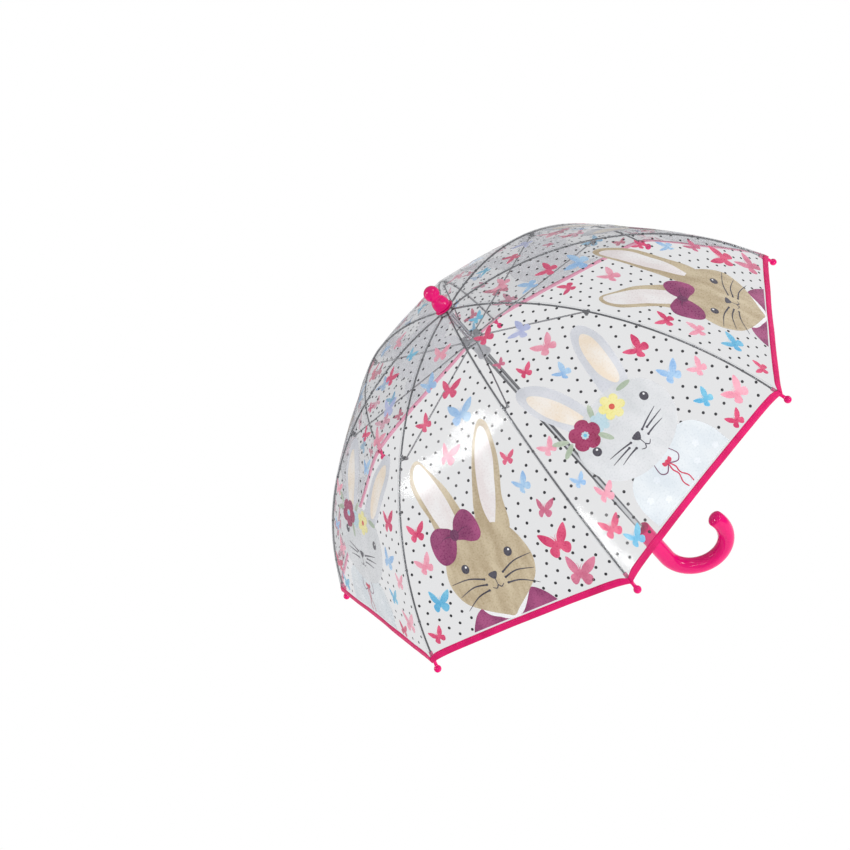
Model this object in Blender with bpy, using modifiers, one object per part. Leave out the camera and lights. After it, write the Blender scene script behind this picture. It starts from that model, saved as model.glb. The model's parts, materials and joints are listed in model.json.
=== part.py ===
"""Child's clear dome umbrella, shown open.

The row frame has its origin at the middle of the hand grip, on the shaft's axis, and +Z runs up the
shaft to the crown. Heights called "below the crown" are counted from the ring of rib hinges.

Eight ribs hang on a wire ring in the top notch, eight stretchers hang on a wire ring in the runner,
and eight film panels span the gaps between the ribs. Each hinge has an empty on its axis, and what
turns on that hinge is parented to it.
"""
import math

import bmesh
import bpy
from mathutils import Matrix, Vector

# ---- driving dimensions, in metres and radians -------------------------------------------------
GAP = 0.0003                        # clearance between pieces that touch
SIDES = 8                           # ribs, stretchers and film panels
SECTOR = 2 * math.pi / SIDES
HALF_SECTOR = SECTOR / 2

CROWN_HEIGHT = 0.470                # rib hinges above the middle of the hand grip
CANOPY_RADIUS = 0.350               # shaft axis to a rib's hem corner
CANOPY_DROP = 0.2212                # rib hinges down to the hem corners
RIB_SWEEP = math.radians(65.7)      # how far a rib turns along its arc
CLOSED_TIP_RADIUS = 0.036           # shaft axis to a hem corner when closed

NOTCH_RING = 0.009                  # radius of the rib hinge ring
RUNNER_RING = 0.0125                # stretcher hinge, along its rib's direction
RUNNER_OPEN = 0.052                 # stretcher hinges below the crown when open
RING_WIRE = 0.0005                  # radius of both hinge wires

RIB_WIRE = 0.0014
RIB_PAST_HEM = 0.008                # rib end, held inside the tip
TIP_SLEEVE = 0.010                  # the tip's sleeve, back from the hem corner
SADDLE = 0.004                      # half the length of the rib joint's saddle
STRETCHER_WIRE = 0.0013
STRETCHER_OFFSET = 0.0045           # stretcher beside its rib
JOINT_SHARE = 0.45                  # stretcher joint, as a share of the rib's arc
JOINT_DEPTH = 0.0045                # stretcher joint under the rib
EYE_RADIUS = 0.0021

TUBE_RADIUS = 0.0045
TUBE_WALL = 0.0006
TUBE_TOP = 0.012
TUBE_BOTTOM = -0.4880

HANDLE_TOP = -0.436
HANDLE_RADIUS = 0.0115
HOOK_START = -0.4994
HOOK_RADIUS = 0.0451
HOOK_SWEEP = math.radians(196)
HOOK_AZIMUTH = math.radians(-10)

FILM = 0.0002                       # thickness of the clear film
FILM_LIFT = 0.0020                  # film above the ribs' centre lines
HEM_WIDTH = 0.0085
HEM_THICKNESS = 0.0010

RUNNER_SLEEVE = 0.0080
RUNNER_LENGTH = 0.0270              # sleeve below the stretcher hinges
FLANGE_HALF = 0.0034
CATCH_AZIMUTH = math.pi             # both catches face away from the hook
CATCH_LENGTH = 0.0154
CATCH_WIDTH = 0.0024
CATCH_PROUD = 0.0068                # how far out a catch's nose reaches

# ---- the rib's arc -----------------------------------------------------------------------------
CHORD = math.hypot(CANOPY_RADIUS - NOTCH_RING, CANOPY_DROP)
CHORD_SLOPE = math.atan2(CANOPY_DROP, CANOPY_RADIUS - NOTCH_RING)
ARC_RADIUS = CHORD / (2 * math.sin(RIB_SWEEP / 2))
ARC_LENGTH = ARC_RADIUS * RIB_SWEEP
FIRST_SLOPE = CHORD_SLOPE - RIB_SWEEP / 2
LAST_SLOPE = CHORD_SLOPE + RIB_SWEEP / 2


def on_rib(share, lift=0.0):
    """(radius, height) at a share of the rib's arc, lifted outwards from its centre line."""
    slope = FIRST_SLOPE + share * RIB_SWEEP
    radius = NOTCH_RING + ARC_RADIUS * (math.sin(slope) - math.sin(FIRST_SLOPE))
    height = ARC_RADIUS * (math.cos(slope) - math.cos(FIRST_SLOPE))
    return radius + lift * math.sin(slope), height + lift * math.cos(slope)


def film_lift(share):
    """The film clears the top notch at the crown and the tips' sleeves at the hem."""
    crown = 0.0017 * math.exp(-((share * ARC_LENGTH / 0.014) ** 2))
    hem = 0.0016 * math.exp(-(((1 - share) * ARC_LENGTH / 0.022) ** 2))
    return FILM_LIFT + crown + hem


# ---- how the umbrella closes --------------------------------------------------------------------
def fold_angle(pivot_radius, radius, height, closed_radius):
    """Turn about a hinge at pivot_radius that brings (radius, height) in to closed_radius."""
    reach = math.hypot(radius - pivot_radius, height)
    now = math.atan2(-height, radius - pivot_radius)
    return math.acos((closed_radius - pivot_radius) / reach) - now


def turned_down(pivot_radius, radius, height, angle):
    """Where (radius, height) goes when it turns down about a hinge at pivot_radius."""
    reach = math.hypot(radius - pivot_radius, height)
    slope = math.atan2(-height, radius - pivot_radius) + angle
    return pivot_radius + reach * math.cos(slope), -reach * math.sin(slope)


PANEL_PIVOT = NOTCH_RING * math.cos(HALF_SECTOR)
RIB_FOLD = fold_angle(NOTCH_RING, CANOPY_RADIUS, -CANOPY_DROP, CLOSED_TIP_RADIUS)
PANEL_FOLD = fold_angle(
    PANEL_PIVOT,
    CANOPY_RADIUS * math.cos(HALF_SECTOR),
    -CANOPY_DROP,
    CLOSED_TIP_RADIUS * math.cos(HALF_SECTOR),
)
JOINT_OPEN = on_rib(JOINT_SHARE, -JOINT_DEPTH)
JOINT_CLOSED = turned_down(NOTCH_RING, *JOINT_OPEN, RIB_FOLD)
STRETCHER_RUN = JOINT_OPEN[0] - RUNNER_RING
STRETCHER_RISE = JOINT_OPEN[1] + RUNNER_OPEN
STRETCHER_LENGTH = math.hypot(STRETCHER_RUN, STRETCHER_RISE)
CLOSED_RUN = JOINT_CLOSED[0] - RUNNER_RING
CLOSED_RISE = math.sqrt(STRETCHER_LENGTH**2 - CLOSED_RUN**2)
RUNNER_CLOSED = CLOSED_RISE - JOINT_CLOSED[1]
RUNNER_TRAVEL = RUNNER_CLOSED - RUNNER_OPEN
STRETCHER_FOLD = math.atan2(CLOSED_RISE, CLOSED_RUN) - math.atan2(STRETCHER_RISE, STRETCHER_RUN)

# ---- colours ------------------------------------------------------------------------------------
PINK_PLASTIC = ("pink_plastic", (0.84, 0.03, 0.23), 0.18, 0.0, 1.0)
PINK_BINDING = ("pink_binding", (0.82, 0.02, 0.15), 0.45, 0.0, 1.0)
STEEL = ("steel_tube", (0.62, 0.63, 0.65), 0.22, 1.0, 1.0)
DARK_WIRE = ("dark_wire", (0.16, 0.17, 0.18), 0.35, 0.9, 1.0)
GREY_PLASTIC = ("grey_plastic", (0.55, 0.56, 0.58), 0.35, 0.0, 1.0)
CLEAR_FILM = ("clear_film", (0.86, 0.87, 0.89), 0.08, 0.0, 0.35)


def material(spec):
    """The named Principled material, made the first time it is asked for."""
    name, colour, roughness, metallic, alpha = spec
    if name in bpy.data.materials:
        return bpy.data.materials[name]
    made = bpy.data.materials.new(name)
    made.use_nodes = True
    shader = made.node_tree.nodes["Principled BSDF"]
    shader.inputs["Base Color"].default_value = (*colour, 1.0)
    shader.inputs["Roughness"].default_value = roughness
    shader.inputs["Metallic"].default_value = metallic
    shader.inputs["Alpha"].default_value = alpha
    made.diffuse_color = (*colour, alpha)
    return made


# ---- scene --------------------------------------------------------------------------------------
def clear_scene():
    for old in list(bpy.data.objects):
        bpy.data.objects.remove(old, do_unlink=True)


def collection(name):
    made = bpy.data.collections.new(name)
    bpy.context.scene.collection.children.link(made)
    return made


def move_to(obj, target):
    """The object leaves every collection it is in and joins target."""
    for old in list(obj.users_collection):
        old.objects.unlink(obj)
    target.objects.link(obj)
    return obj


# ---- shapes -------------------------------------------------------------------------------------
def primitive(matrix=None):
    """The primitive that was just added, with its place written into its mesh."""
    obj = bpy.context.active_object
    obj.data.transform((matrix or Matrix.Identity(4)) @ obj.matrix_basis)
    obj.matrix_basis = Matrix.Identity(4)
    return obj


def box(low, high):
    bpy.ops.mesh.primitive_cube_add(size=1.0)
    middle = (Vector(low) + Vector(high)) / 2
    size = Vector(high) - Vector(low)
    return primitive(Matrix.Translation(middle) @ Matrix.Diagonal((*size, 1.0)))


def cylinder_y(radius, low, high, centre=(0.0, 0.0), sides=10):
    """A cylinder along Y from low to high, about centre in X and Z."""
    bpy.ops.mesh.primitive_cylinder_add(vertices=sides, radius=radius, depth=high - low)
    place = Matrix.Translation((centre[0], (low + high) / 2, centre[1]))
    return primitive(place @ Matrix.Rotation(math.pi / 2, 4, "X"))


def ring(major, minor):
    """A closed wire ring about the Z axis."""
    bpy.ops.mesh.primitive_torus_add(
        major_radius=major, minor_radius=minor, major_segments=24, minor_segments=6
    )
    return primitive()


def turned(profile, steps, closed=False):
    """A profile of (radius, height) points, turned about Z; closed joins its ends."""
    mesh = bpy.data.meshes.new("profile")
    count = len(profile)
    edges = [(i, (i + 1) % count) for i in range(count if closed else count - 1)]
    mesh.from_pydata([(r, 0.0, z) for r, z in profile], edges, [])
    obj = bpy.data.objects.new("turned", mesh)
    bpy.context.scene.collection.objects.link(obj)
    screw = obj.modifiers.new("turn", "SCREW")
    screw.steps = steps
    screw.render_steps = steps
    screw.use_merge_vertices = True
    screw.merge_threshold = 0.00001
    return obj


def wire(points, radius, resolution=2, radii=None):
    """A round wire through the points; radii scale its thickness at each of them."""
    curve = bpy.data.curves.new("wire", "CURVE")
    curve.dimensions = "3D"
    curve.bevel_depth = radius
    curve.bevel_resolution = resolution
    curve.use_fill_caps = True
    spline = curve.splines.new("POLY")
    spline.points.add(len(points) - 1)
    for i, point in enumerate(points):
        spline.points[i].co = (*point, 1.0)
        spline.points[i].radius = radii[i] if radii else 1.0
    obj = bpy.data.objects.new("wire", curve)
    bpy.context.scene.collection.objects.link(obj)
    return obj


def solidified(rows, thickness):
    """A sheet through rows of points, thickened to both sides."""
    mesh = bpy.data.meshes.new("sheet")
    across = len(rows[0])
    points = [point for row in rows for point in row]
    faces = []
    for i in range(len(rows) - 1):
        for j in range(across - 1):
            a = i * across + j
            faces.append((a, a + across, a + across + 1, a + 1))
    mesh.from_pydata(points, [], faces)
    obj = bpy.data.objects.new("sheet", mesh)
    bpy.context.scene.collection.objects.link(obj)
    shell = obj.modifiers.new("thickness", "SOLIDIFY")
    shell.thickness = thickness
    shell.offset = 0.0
    return obj


def baked(obj):
    """The object as an evaluated, welded mesh whose faces point out; the original is removed."""
    bpy.context.view_layer.update()
    graph = bpy.context.evaluated_depsgraph_get()
    mesh = bpy.data.meshes.new_from_object(obj.evaluated_get(graph))
    made = bpy.data.objects.new(obj.name, mesh)
    bpy.context.scene.collection.objects.link(made)
    made.matrix_world = obj.matrix_world
    bpy.data.objects.remove(obj, do_unlink=True)
    work = bmesh.new()
    work.from_mesh(mesh)
    bmesh.ops.remove_doubles(work, verts=work.verts, dist=0.000001)
    bmesh.ops.recalc_face_normals(work, faces=work.faces)
    work.to_mesh(mesh)
    work.free()
    return made


def boolean(obj, operation, others):
    """Live EXACT booleans with each of the others, which stay as hidden guides."""
    for other in others:
        step = obj.modifiers.new(operation.lower(), "BOOLEAN")
        step.operation = operation
        step.solver = "EXACT"
        step.object = other
        move_to(other, CUTTERS)
        other.hide_render = True
        other.hide_set(True)
        other.display_type = "WIRE"
    return obj


def smooth(obj, angle=math.radians(35)):
    obj.data.shade_smooth()
    obj.data.set_sharp_from_angle(angle=angle)
    return obj


def named(obj, name, spec, parent=None):
    """The object becomes the part's node of that name."""
    obj.name = name
    obj.data.name = name
    obj.data.materials.clear()
    obj.data.materials.append(material(spec))
    move_to(obj, PARTS)
    obj.parent = parent
    return obj


def repeated(template, name, spec, hinges):
    """One object for each hinge, all sharing the template's mesh in the hinge's own frame."""
    shape = smooth(baked(template))
    for number, hinge in enumerate(hinges, start=1):
        copy = bpy.data.objects.new(name, shape.data)
        bpy.context.scene.collection.objects.link(copy)
        named(copy, f"{name}_{number}", spec, hinge)
    bpy.data.objects.remove(shape, do_unlink=True)


def hinge(name, azimuth, radius, below_crown):
    """An empty on a hinge axis: its X points outwards and its Y lies along the axis."""
    empty = bpy.data.objects.new(name, None)
    empty.empty_display_size = 0.01
    out = Vector((math.cos(azimuth), math.sin(azimuth), 0.0))
    empty.location = out * radius + Vector((0.0, 0.0, CROWN_HEIGHT - below_crown))
    empty.rotation_euler = (0.0, 0.0, azimuth)
    PARTS.objects.link(empty)
    return empty


# ---- shaft, crown and handle ---------------------------------------------------------------------
def raised(profile):
    """Heights measured from the crown become heights in the row frame."""
    return [(radius, height + CROWN_HEIGHT) for radius, height in profile]


def catch_slot(low):
    """A cutter for the slot that a catch, with its lowest point at low, moves in."""
    half = CATCH_WIDTH / 2 + GAP
    base = CROWN_HEIGHT + low
    slot = box((0.001, -half, base - GAP), (0.008, half, base + CATCH_LENGTH + GAP))
    slot.rotation_euler[2] = CATCH_AZIMUTH
    return slot


TOP_CATCH_LOW = -(RUNNER_OPEN + RUNNER_LENGTH + GAP + CATCH_LENGTH)
BOTTOM_CATCH_LOW = -RUNNER_CLOSED + FLANGE_HALF + GAP


def shaft_tube():
    inner = TUBE_RADIUS - TUBE_WALL
    outline = [(TUBE_RADIUS, TUBE_TOP), (TUBE_RADIUS, TUBE_BOTTOM)]
    outline += [(inner, TUBE_BOTTOM), (inner, TUBE_TOP)]
    tube = baked(turned(raised(outline), 24, closed=True))
    boolean(tube, "DIFFERENCE", [catch_slot(TOP_CATCH_LOW), catch_slot(BOTTOM_CATCH_LOW)])
    return named(smooth(tube), "shaft_tube", STEEL)


def ferrule():
    """A bell skirt over the canopy's middle, a waist and a ball on top, bored for the tube."""
    skirt, waist, ball, ball_centre = 0.0108, 0.0050, 0.0100, 0.0300
    base, shoulder = 0.0064, 0.0150
    top = [
        (ball * math.sin(turn), ball_centre + ball * math.cos(turn))
        for turn in [math.radians(18 * i) for i in range(9)]
    ]
    bell = [(waist, shoulder + 0.0045), (0.0074, shoulder + 0.0005), (0.0096, 0.0115)]
    bell += [(skirt, 0.0085), (skirt, base)]
    bore = [(TUBE_RADIUS + GAP, base), (TUBE_RADIUS + GAP, TUBE_TOP + GAP), (0.0, TUBE_TOP + GAP)]
    cap = baked(turned(raised(top + bell + bore), 20))
    return named(smooth(cap), "ferrule", PINK_PLASTIC)


def toothed(profile, slot_width, slot_start, slot_offset):
    """A turned hub with one radial slot for each rib or stretcher."""
    hub = baked(turned(profile, 24, closed=True))
    middle = sum(height for _, height in profile) / len(profile)
    slots = []
    for i in range(SIDES):
        half = slot_width / 2
        slot = box(
            (slot_start, slot_offset - half, middle - 0.02),
            (0.03, slot_offset + half, middle + 0.02),
        )
        slot.rotation_euler[2] = i * SECTOR
        slots.append(slot)
    return boolean(hub, "DIFFERENCE", slots)


def top_notch():
    """The hub at the crown: two toothed flanges with the hinge wire's groove between them."""
    bore, hub, edge = TUBE_RADIUS + GAP, 0.0079, 0.0118
    high, low, groove = 0.0032, -0.0034, 0.0011
    outline = [(bore, high), (edge, high), (edge, groove), (hub, groove)]
    outline += [(hub, -groove), (edge, -groove), (edge, low), (bore, low)]
    notch = toothed(raised(outline), 2 * (RIB_WIRE + GAP), 0.0064, 0.0)
    return named(smooth(notch), "top_notch", GREY_PLASTIC)


def notch_wire():
    loop = ring(NOTCH_RING, RING_WIRE)
    loop.location[2] = CROWN_HEIGHT
    return named(smooth(loop), "notch_wire", STEEL)


def canopy_washer():
    """The soft disc that the ferrule presses on the film."""
    low, high = 0.0048, 0.0061
    outline = [(0.0125, high), (0.0125, low), (TUBE_RADIUS + GAP, low), (TUBE_RADIUS + GAP, high)]
    disc = baked(turned(raised(outline), 24, closed=True))
    return named(smooth(disc), "canopy_washer", PINK_PLASTIC)


def runner_stop():
    """The collar on the shaft that the open runner comes up against."""
    low = -RUNNER_OPEN + FLANGE_HALF + GAP
    high = low + 0.004
    bore = TUBE_RADIUS + GAP
    outline = [(0.0062, high), (0.0070, low), (bore, low), (bore, high)]
    collar = baked(turned(raised(outline), 20, closed=True))
    return named(smooth(collar), "runner_stop", STEEL)


def handle():
    """A round crook with a straight grip, a domed end and a blind bore for the shaft."""
    straight = [0.0, 0.0012, 0.02, 0.042]
    points = [Vector((0.0, 0.0, CROWN_HEIGHT + HANDLE_TOP - down)) for down in straight]
    radii = [0.93, 1.0, 1.0, 1.0]
    steps = 17
    for i in range(steps + 1):
        turn = HOOK_SWEEP * i / steps
        out = HOOK_RADIUS * (1 - math.cos(turn))
        height = CROWN_HEIGHT + HOOK_START - HOOK_RADIUS * math.sin(turn)
        points.append(Vector((out, 0.0, height)))
        radii.append(1.0)
    along = (points[-1] - points[-2]).normalized()
    end = points[-1]
    for share in (0.35, 0.65, 0.87, 0.97):
        points.append(end + along * HANDLE_RADIUS * share * 0.6)
        radii.append(math.sqrt(1 - share**2))
    crook = baked(wire(points, HANDLE_RADIUS, 4, radii))
    bpy.ops.mesh.primitive_cylinder_add(vertices=24, radius=TUBE_RADIUS + GAP, depth=0.06)
    bore_floor = CROWN_HEIGHT + TUBE_BOTTOM - GAP
    bore = primitive(Matrix.Translation((0.0, 0.0, bore_floor + 0.03)))
    boolean(crook, "DIFFERENCE", [bore])
    crook.rotation_euler[2] = HOOK_AZIMUTH
    return named(smooth(crook), "handle", PINK_PLASTIC)


# ---- catches -------------------------------------------------------------------------------------
def catch(name, low, nose_up):
    """A wedge that springs out of the shaft: its nose is the square end of its slope."""
    root, inner, tail = 0.0040, 0.0012, 0.0044
    high = low + CATCH_LENGTH
    nose, heel = (high, low) if nose_up else (low, high)
    step = 0.003 if nose_up else -0.003
    outline = [(inner, nose), (CATCH_PROUD, nose), (CATCH_PROUD, nose - step)]
    outline += [(tail, heel), (inner, heel), (root - 0.0016, (nose + heel) / 2)]
    flat = bpy.data.curves.new(name, "CURVE")
    flat.dimensions = "2D"
    flat.fill_mode = "BOTH"
    flat.extrude = CATCH_WIDTH / 2
    spline = flat.splines.new("POLY")
    spline.points.add(len(outline) - 1)
    for point, (radius, height) in zip(spline.points, outline):
        point.co = (radius, height, 0.0, 1.0)
    spline.use_cyclic_u = True
    wedge = bpy.data.objects.new(name, flat)
    bpy.context.scene.collection.objects.link(wedge)
    wedge = baked(wedge)
    wedge.data.transform(Matrix.Rotation(math.pi / 2, 4, "X"))
    wedge.location[2] = CROWN_HEIGHT
    wedge.rotation_euler[2] = CATCH_AZIMUTH
    return named(wedge, name, STEEL)


# ---- runner --------------------------------------------------------------------------------------
def runner():
    """A sleeve with a finger lip and a toothed flange, grooved for its hinge wire."""
    bore, edge, groove = TUBE_RADIUS + GAP, 0.0148, 0.0011
    floor = math.hypot(RUNNER_RING, STRETCHER_OFFSET) - RING_WIRE - GAP
    bottom, lip = -RUNNER_LENGTH, 0.0096
    outline = [(bore, FLANGE_HALF), (edge, FLANGE_HALF), (edge, groove), (floor, groove)]
    outline += [(floor, -groove), (edge, -groove), (edge, -FLANGE_HALF)]
    outline += [(RUNNER_SLEEVE + 0.0012, -FLANGE_HALF - 0.0025), (RUNNER_SLEEVE, -0.011)]
    outline += [(RUNNER_SLEEVE, bottom + 0.005), (lip, bottom + 0.0025), (lip, bottom)]
    outline += [(bore, bottom)]
    outline = [(radius, height - RUNNER_OPEN) for radius, height in outline]
    hub = toothed(raised(outline), 2 * (STRETCHER_WIRE + GAP), 0.0099, STRETCHER_OFFSET)
    half = CATCH_WIDTH / 2 + GAP
    top = CROWN_HEIGHT - RUNNER_OPEN
    keyway = box((0.0, -half, top - 0.04), (CATCH_PROUD + GAP, half, top + 0.01))
    keyway.rotation_euler[2] = CATCH_AZIMUTH
    boolean(hub, "DIFFERENCE", [keyway])
    return named(smooth(hub), "runner", GREY_PLASTIC)


def runner_wire():
    loop = ring(math.hypot(RUNNER_RING, STRETCHER_OFFSET), RING_WIRE)
    loop.location[2] = CROWN_HEIGHT - RUNNER_OPEN
    return named(smooth(loop), "runner_wire", STEEL)


# ---- ribs, in the frame of a rib hinge ------------------------------------------------------------
def rib_place(share, lift=0.0, side=0.0):
    radius, height = on_rib(share, lift)
    return Vector((radius - NOTCH_RING, side, height))


def rib():
    """A round wire along the arc, with an eye for the notch wire."""
    along = Vector((math.cos(LAST_SLOPE), 0.0, -math.sin(LAST_SLOPE)))
    near, far = JOINT_SHARE - SADDLE / ARC_LENGTH, JOINT_SHARE + SADDLE / ARC_LENGTH
    into_sleeve = 1 - TIP_SLEEVE / ARC_LENGTH
    shares = [near * i / 5 for i in range(6)]
    shares += [far + (into_sleeve - far) * i / 5 for i in range(6)]
    points = [rib_place(share) for share in shares + [1.0]]
    points[0] = points[0].lerp(points[1], 0.04)
    points.append(points[-1] + along * RIB_PAST_HEM)
    stem = baked(wire(points, RIB_WIRE))
    boolean(stem, "UNION", [cylinder_y(EYE_RADIUS, -0.0011, 0.0011)])
    hole = cylinder_y(RING_WIRE + GAP, -0.003, 0.003, sides=8)
    boolean(stem, "DIFFERENCE", [hole])
    return stem


def rib_tip():
    """A sleeve over the rib's end, a waist and a ball."""
    sleeve, waist, ball, centre = 0.0023, 0.0020, 0.0044, 0.0125
    bore = RIB_WIRE + GAP
    top = [
        (ball * math.sin(turn), centre + ball * math.cos(turn))
        for turn in [math.radians(29 * i) for i in range(6)]
    ]
    shank = [(waist, centre - 0.0052), (waist, 0.002), (sleeve, 0.001), (sleeve, -TIP_SLEEVE)]
    inside = [(bore, -TIP_SLEEVE), (bore, RIB_PAST_HEM + GAP), (0.0, RIB_PAST_HEM + GAP)]
    cap = baked(turned(top + shank + inside, 10))
    turn = Matrix.Rotation(math.pi / 2 + LAST_SLOPE, 4, "Y")
    cap.data.transform(Matrix.Translation(rib_place(1.0)) @ turn)
    return cap


def rib_joint():
    """A saddle that clips over the rib from below, with a rivet head on its far cheek."""
    cheek, reach, hold = 0.0024, 0.0066, RIB_WIRE + GAP
    saddle = box((-SADDLE, -cheek, -reach), (SADDLE, cheek, 0.0006))
    channel = box((-2 * SADDLE, -hold, -hold), (2 * SADDLE, hold, SADDLE))
    boolean(saddle, "DIFFERENCE", [channel])
    head = cylinder_y(0.0015, -cheek - 0.0007, -cheek + 0.0005, (0.0, -JOINT_DEPTH), sides=8)
    boolean(saddle, "UNION", [head])
    saddle = baked(saddle)
    slope = FIRST_SLOPE + JOINT_SHARE * RIB_SWEEP
    turn = Matrix.Rotation(slope, 4, "Y")
    saddle.data.transform(Matrix.Translation(rib_place(JOINT_SHARE)) @ turn)
    return saddle


# ---- stretcher, in the frame of a stretcher hinge ---------------------------------------------------
def stretcher():
    """A wire with an eye for the runner wire and a riveted boss at the rib's saddle."""
    side = STRETCHER_OFFSET
    end = (STRETCHER_RUN, STRETCHER_RISE)
    first = Vector((STRETCHER_RUN, 0.0, STRETCHER_RISE)) * 0.005 + Vector((0.0, side, 0.0))
    last = Vector((STRETCHER_RUN, side, STRETCHER_RISE))
    rod = baked(wire([first, last], STRETCHER_WIRE))
    eye = cylinder_y(EYE_RADIUS, side - 0.0012, side + 0.0012)
    boss = cylinder_y(EYE_RADIUS, side - 0.0014, side + 0.0014, end)
    rivet = cylinder_y(0.0011, side - 0.00175, side + 0.0020, end, sides=8)
    boolean(rod, "UNION", [eye, boss, rivet])
    hole = cylinder_y(0.00125, side - 0.004, side + 0.004, sides=8)
    boolean(rod, "DIFFERENCE", [hole])
    return rod


# ---- canopy, in the frame of a panel hinge ----------------------------------------------------------
def across_gore(share, extra=0.0):
    """The two ends of the straight line that the film makes between two ribs at a share."""
    radius, height = on_rib(share, film_lift(share) + extra)
    half = radius * math.sin(HALF_SECTOR) - GAP
    out = radius * math.cos(HALF_SECTOR) - PANEL_PIVOT
    return [Vector((out, -half, height)), Vector((out, half, height))]


HEM_SHARE = 1 - HEM_WIDTH / ARC_LENGTH


def canopy_panel():
    """The clear film between two ribs: it curves along the ribs and is straight across them."""
    last = HEM_SHARE - GAP / ARC_LENGTH
    near_crown = [0.0, 0.022, 0.045]
    rest = [0.045 + (last - 0.045) * i / 11 for i in range(1, 12)]
    return solidified([across_gore(share) for share in near_crown + rest], FILM)


def hem_binding():
    """The tape that closes the panel's edge."""
    return solidified([across_gore(HEM_SHARE), across_gore(1.0)], HEM_THICKNESS)


# ---- assembly -----------------------------------------------------------------------------------------
clear_scene()
PARTS = collection("dome_umbrella")
CUTTERS = collection("cutters")


def build():
    shaft_tube()
    ferrule()
    top_notch()
    notch_wire()
    canopy_washer()
    runner_stop()
    handle()
    catch("top_catch", TOP_CATCH_LOW, nose_up=True)
    catch("bottom_catch", BOTTOM_CATCH_LOW, nose_up=False)
    runner()
    runner_wire()
    numbers = range(SIDES)
    ribs = [hinge(f"rib_hinge_{i + 1}", i * SECTOR, NOTCH_RING, 0.0) for i in numbers]
    on_runner = [
        hinge(f"stretcher_hinge_{i + 1}", i * SECTOR, RUNNER_RING, RUNNER_OPEN) for i in numbers
    ]
    gores = [
        hinge(f"panel_hinge_{i + 1}", (i + 0.5) * SECTOR, PANEL_PIVOT, 0.0) for i in numbers
    ]
    repeated(rib(), "rib", DARK_WIRE, ribs)
    repeated(rib_tip(), "rib_tip", PINK_PLASTIC, ribs)
    repeated(rib_joint(), "rib_joint", DARK_WIRE, ribs)
    repeated(stretcher(), "stretcher", DARK_WIRE, on_runner)
    repeated(canopy_panel(), "canopy_panel", CLEAR_FILM, gores)
    repeated(hem_binding(), "hem_binding", PINK_BINDING, gores)


build()
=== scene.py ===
"""Looks of the child's clear dome umbrella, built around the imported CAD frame.

Every panel is a gore of clear film between two ribs. A place on a gore is (across, along): metres to
the right of its middle as seen from outside with the crown up, and metres from the ring of rib
hinges along the ribs' arc. The printed artwork is drawn flat in those coordinates and laid on the film.
"""
import json
import math

import bmesh
import bpy
import numpy as np
from mathutils import Matrix, Vector
from mathutils.geometry import delaunay_2d_cdt


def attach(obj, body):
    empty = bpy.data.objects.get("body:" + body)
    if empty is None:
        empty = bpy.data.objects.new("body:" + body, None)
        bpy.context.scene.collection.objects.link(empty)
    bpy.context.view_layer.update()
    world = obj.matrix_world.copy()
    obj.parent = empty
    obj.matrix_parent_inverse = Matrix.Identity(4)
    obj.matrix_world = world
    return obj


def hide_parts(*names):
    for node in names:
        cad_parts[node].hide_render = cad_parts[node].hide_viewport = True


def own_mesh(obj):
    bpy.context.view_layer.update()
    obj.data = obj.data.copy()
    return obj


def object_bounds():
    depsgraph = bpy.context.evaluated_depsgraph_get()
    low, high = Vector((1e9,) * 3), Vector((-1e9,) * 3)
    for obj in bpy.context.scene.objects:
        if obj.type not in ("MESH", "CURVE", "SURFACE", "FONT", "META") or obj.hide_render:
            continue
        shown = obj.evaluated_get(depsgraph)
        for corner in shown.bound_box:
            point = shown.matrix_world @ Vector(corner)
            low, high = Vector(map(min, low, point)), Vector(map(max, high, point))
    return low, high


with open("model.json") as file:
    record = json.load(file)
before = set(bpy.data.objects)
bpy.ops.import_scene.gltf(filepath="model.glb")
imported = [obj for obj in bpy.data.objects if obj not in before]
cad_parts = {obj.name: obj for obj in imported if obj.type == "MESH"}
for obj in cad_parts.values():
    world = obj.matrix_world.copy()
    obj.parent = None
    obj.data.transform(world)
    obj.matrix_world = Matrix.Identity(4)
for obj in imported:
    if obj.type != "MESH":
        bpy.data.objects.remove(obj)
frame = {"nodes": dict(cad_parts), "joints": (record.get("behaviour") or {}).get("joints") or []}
CAD_BOX = [list(corner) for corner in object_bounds()]
JOINTS = {joint["name"]: joint for joint in frame["joints"]}

# ---- sizes, in metres and radians ---------------------------------------------------------------
SIDES = 8
SECTOR = 2 * math.pi / SIDES
HALF_SECTOR = SECTOR / 2
NOTCH_RING, _, CROWN = JOINTS["rib_1_fold"]["pos_m"]
RUNNER_RING, _, RUNNER_TOP = JOINTS["stretcher_1_fold"]["pos_m"]

CANOPY_RADIUS = 0.350                   # out to the hem at a rib
CANOPY_DROP = 0.2212                    # from the crown down to there
RIB_SWEEP = math.radians(65.7)          # the turn of a rib's arc
FILM_LIFT = 0.0020                      # the film's seams above the ribs' middle line
SEAM_LIP = 0.0014                       # how far the film drops to a rib beside its seam
FILM_CUT = 0.0025                       # how far inside the binding's fold the film ends
HEM_WIDTH = 0.0085
HEM_SCALLOP = 0.0022                    # how far the hem is drawn up between the tips
HEM_REACH = 0.0030                      # how far the hem runs out along each tip
RIB_WIRE = 0.0011                       # radii of a rib's wire, a stretcher's and the handle
STRETCHER_WIRE = 0.0010
HANDLE_RADIUS = 0.0115
STRETCHER_OFFSET = 0.0045               # a stretcher beside its rib
JOINT_SHARE = 0.45                      # the stretcher's joint, as a share of the rib's arc
JOINT_DEPTH = 0.0045                    # and under the rib
TIP_SLEEVE = 0.010                      # the sleeve's length up the rib
HANDLE_TOP = -0.436                     # below the crown, as the next value is
HOOK_START = -0.4994
HOOK_RADIUS = 0.0451
HOOK_SWEEP = math.radians(196)
HOOK_AZIMUTH = math.radians(-10)

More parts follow.
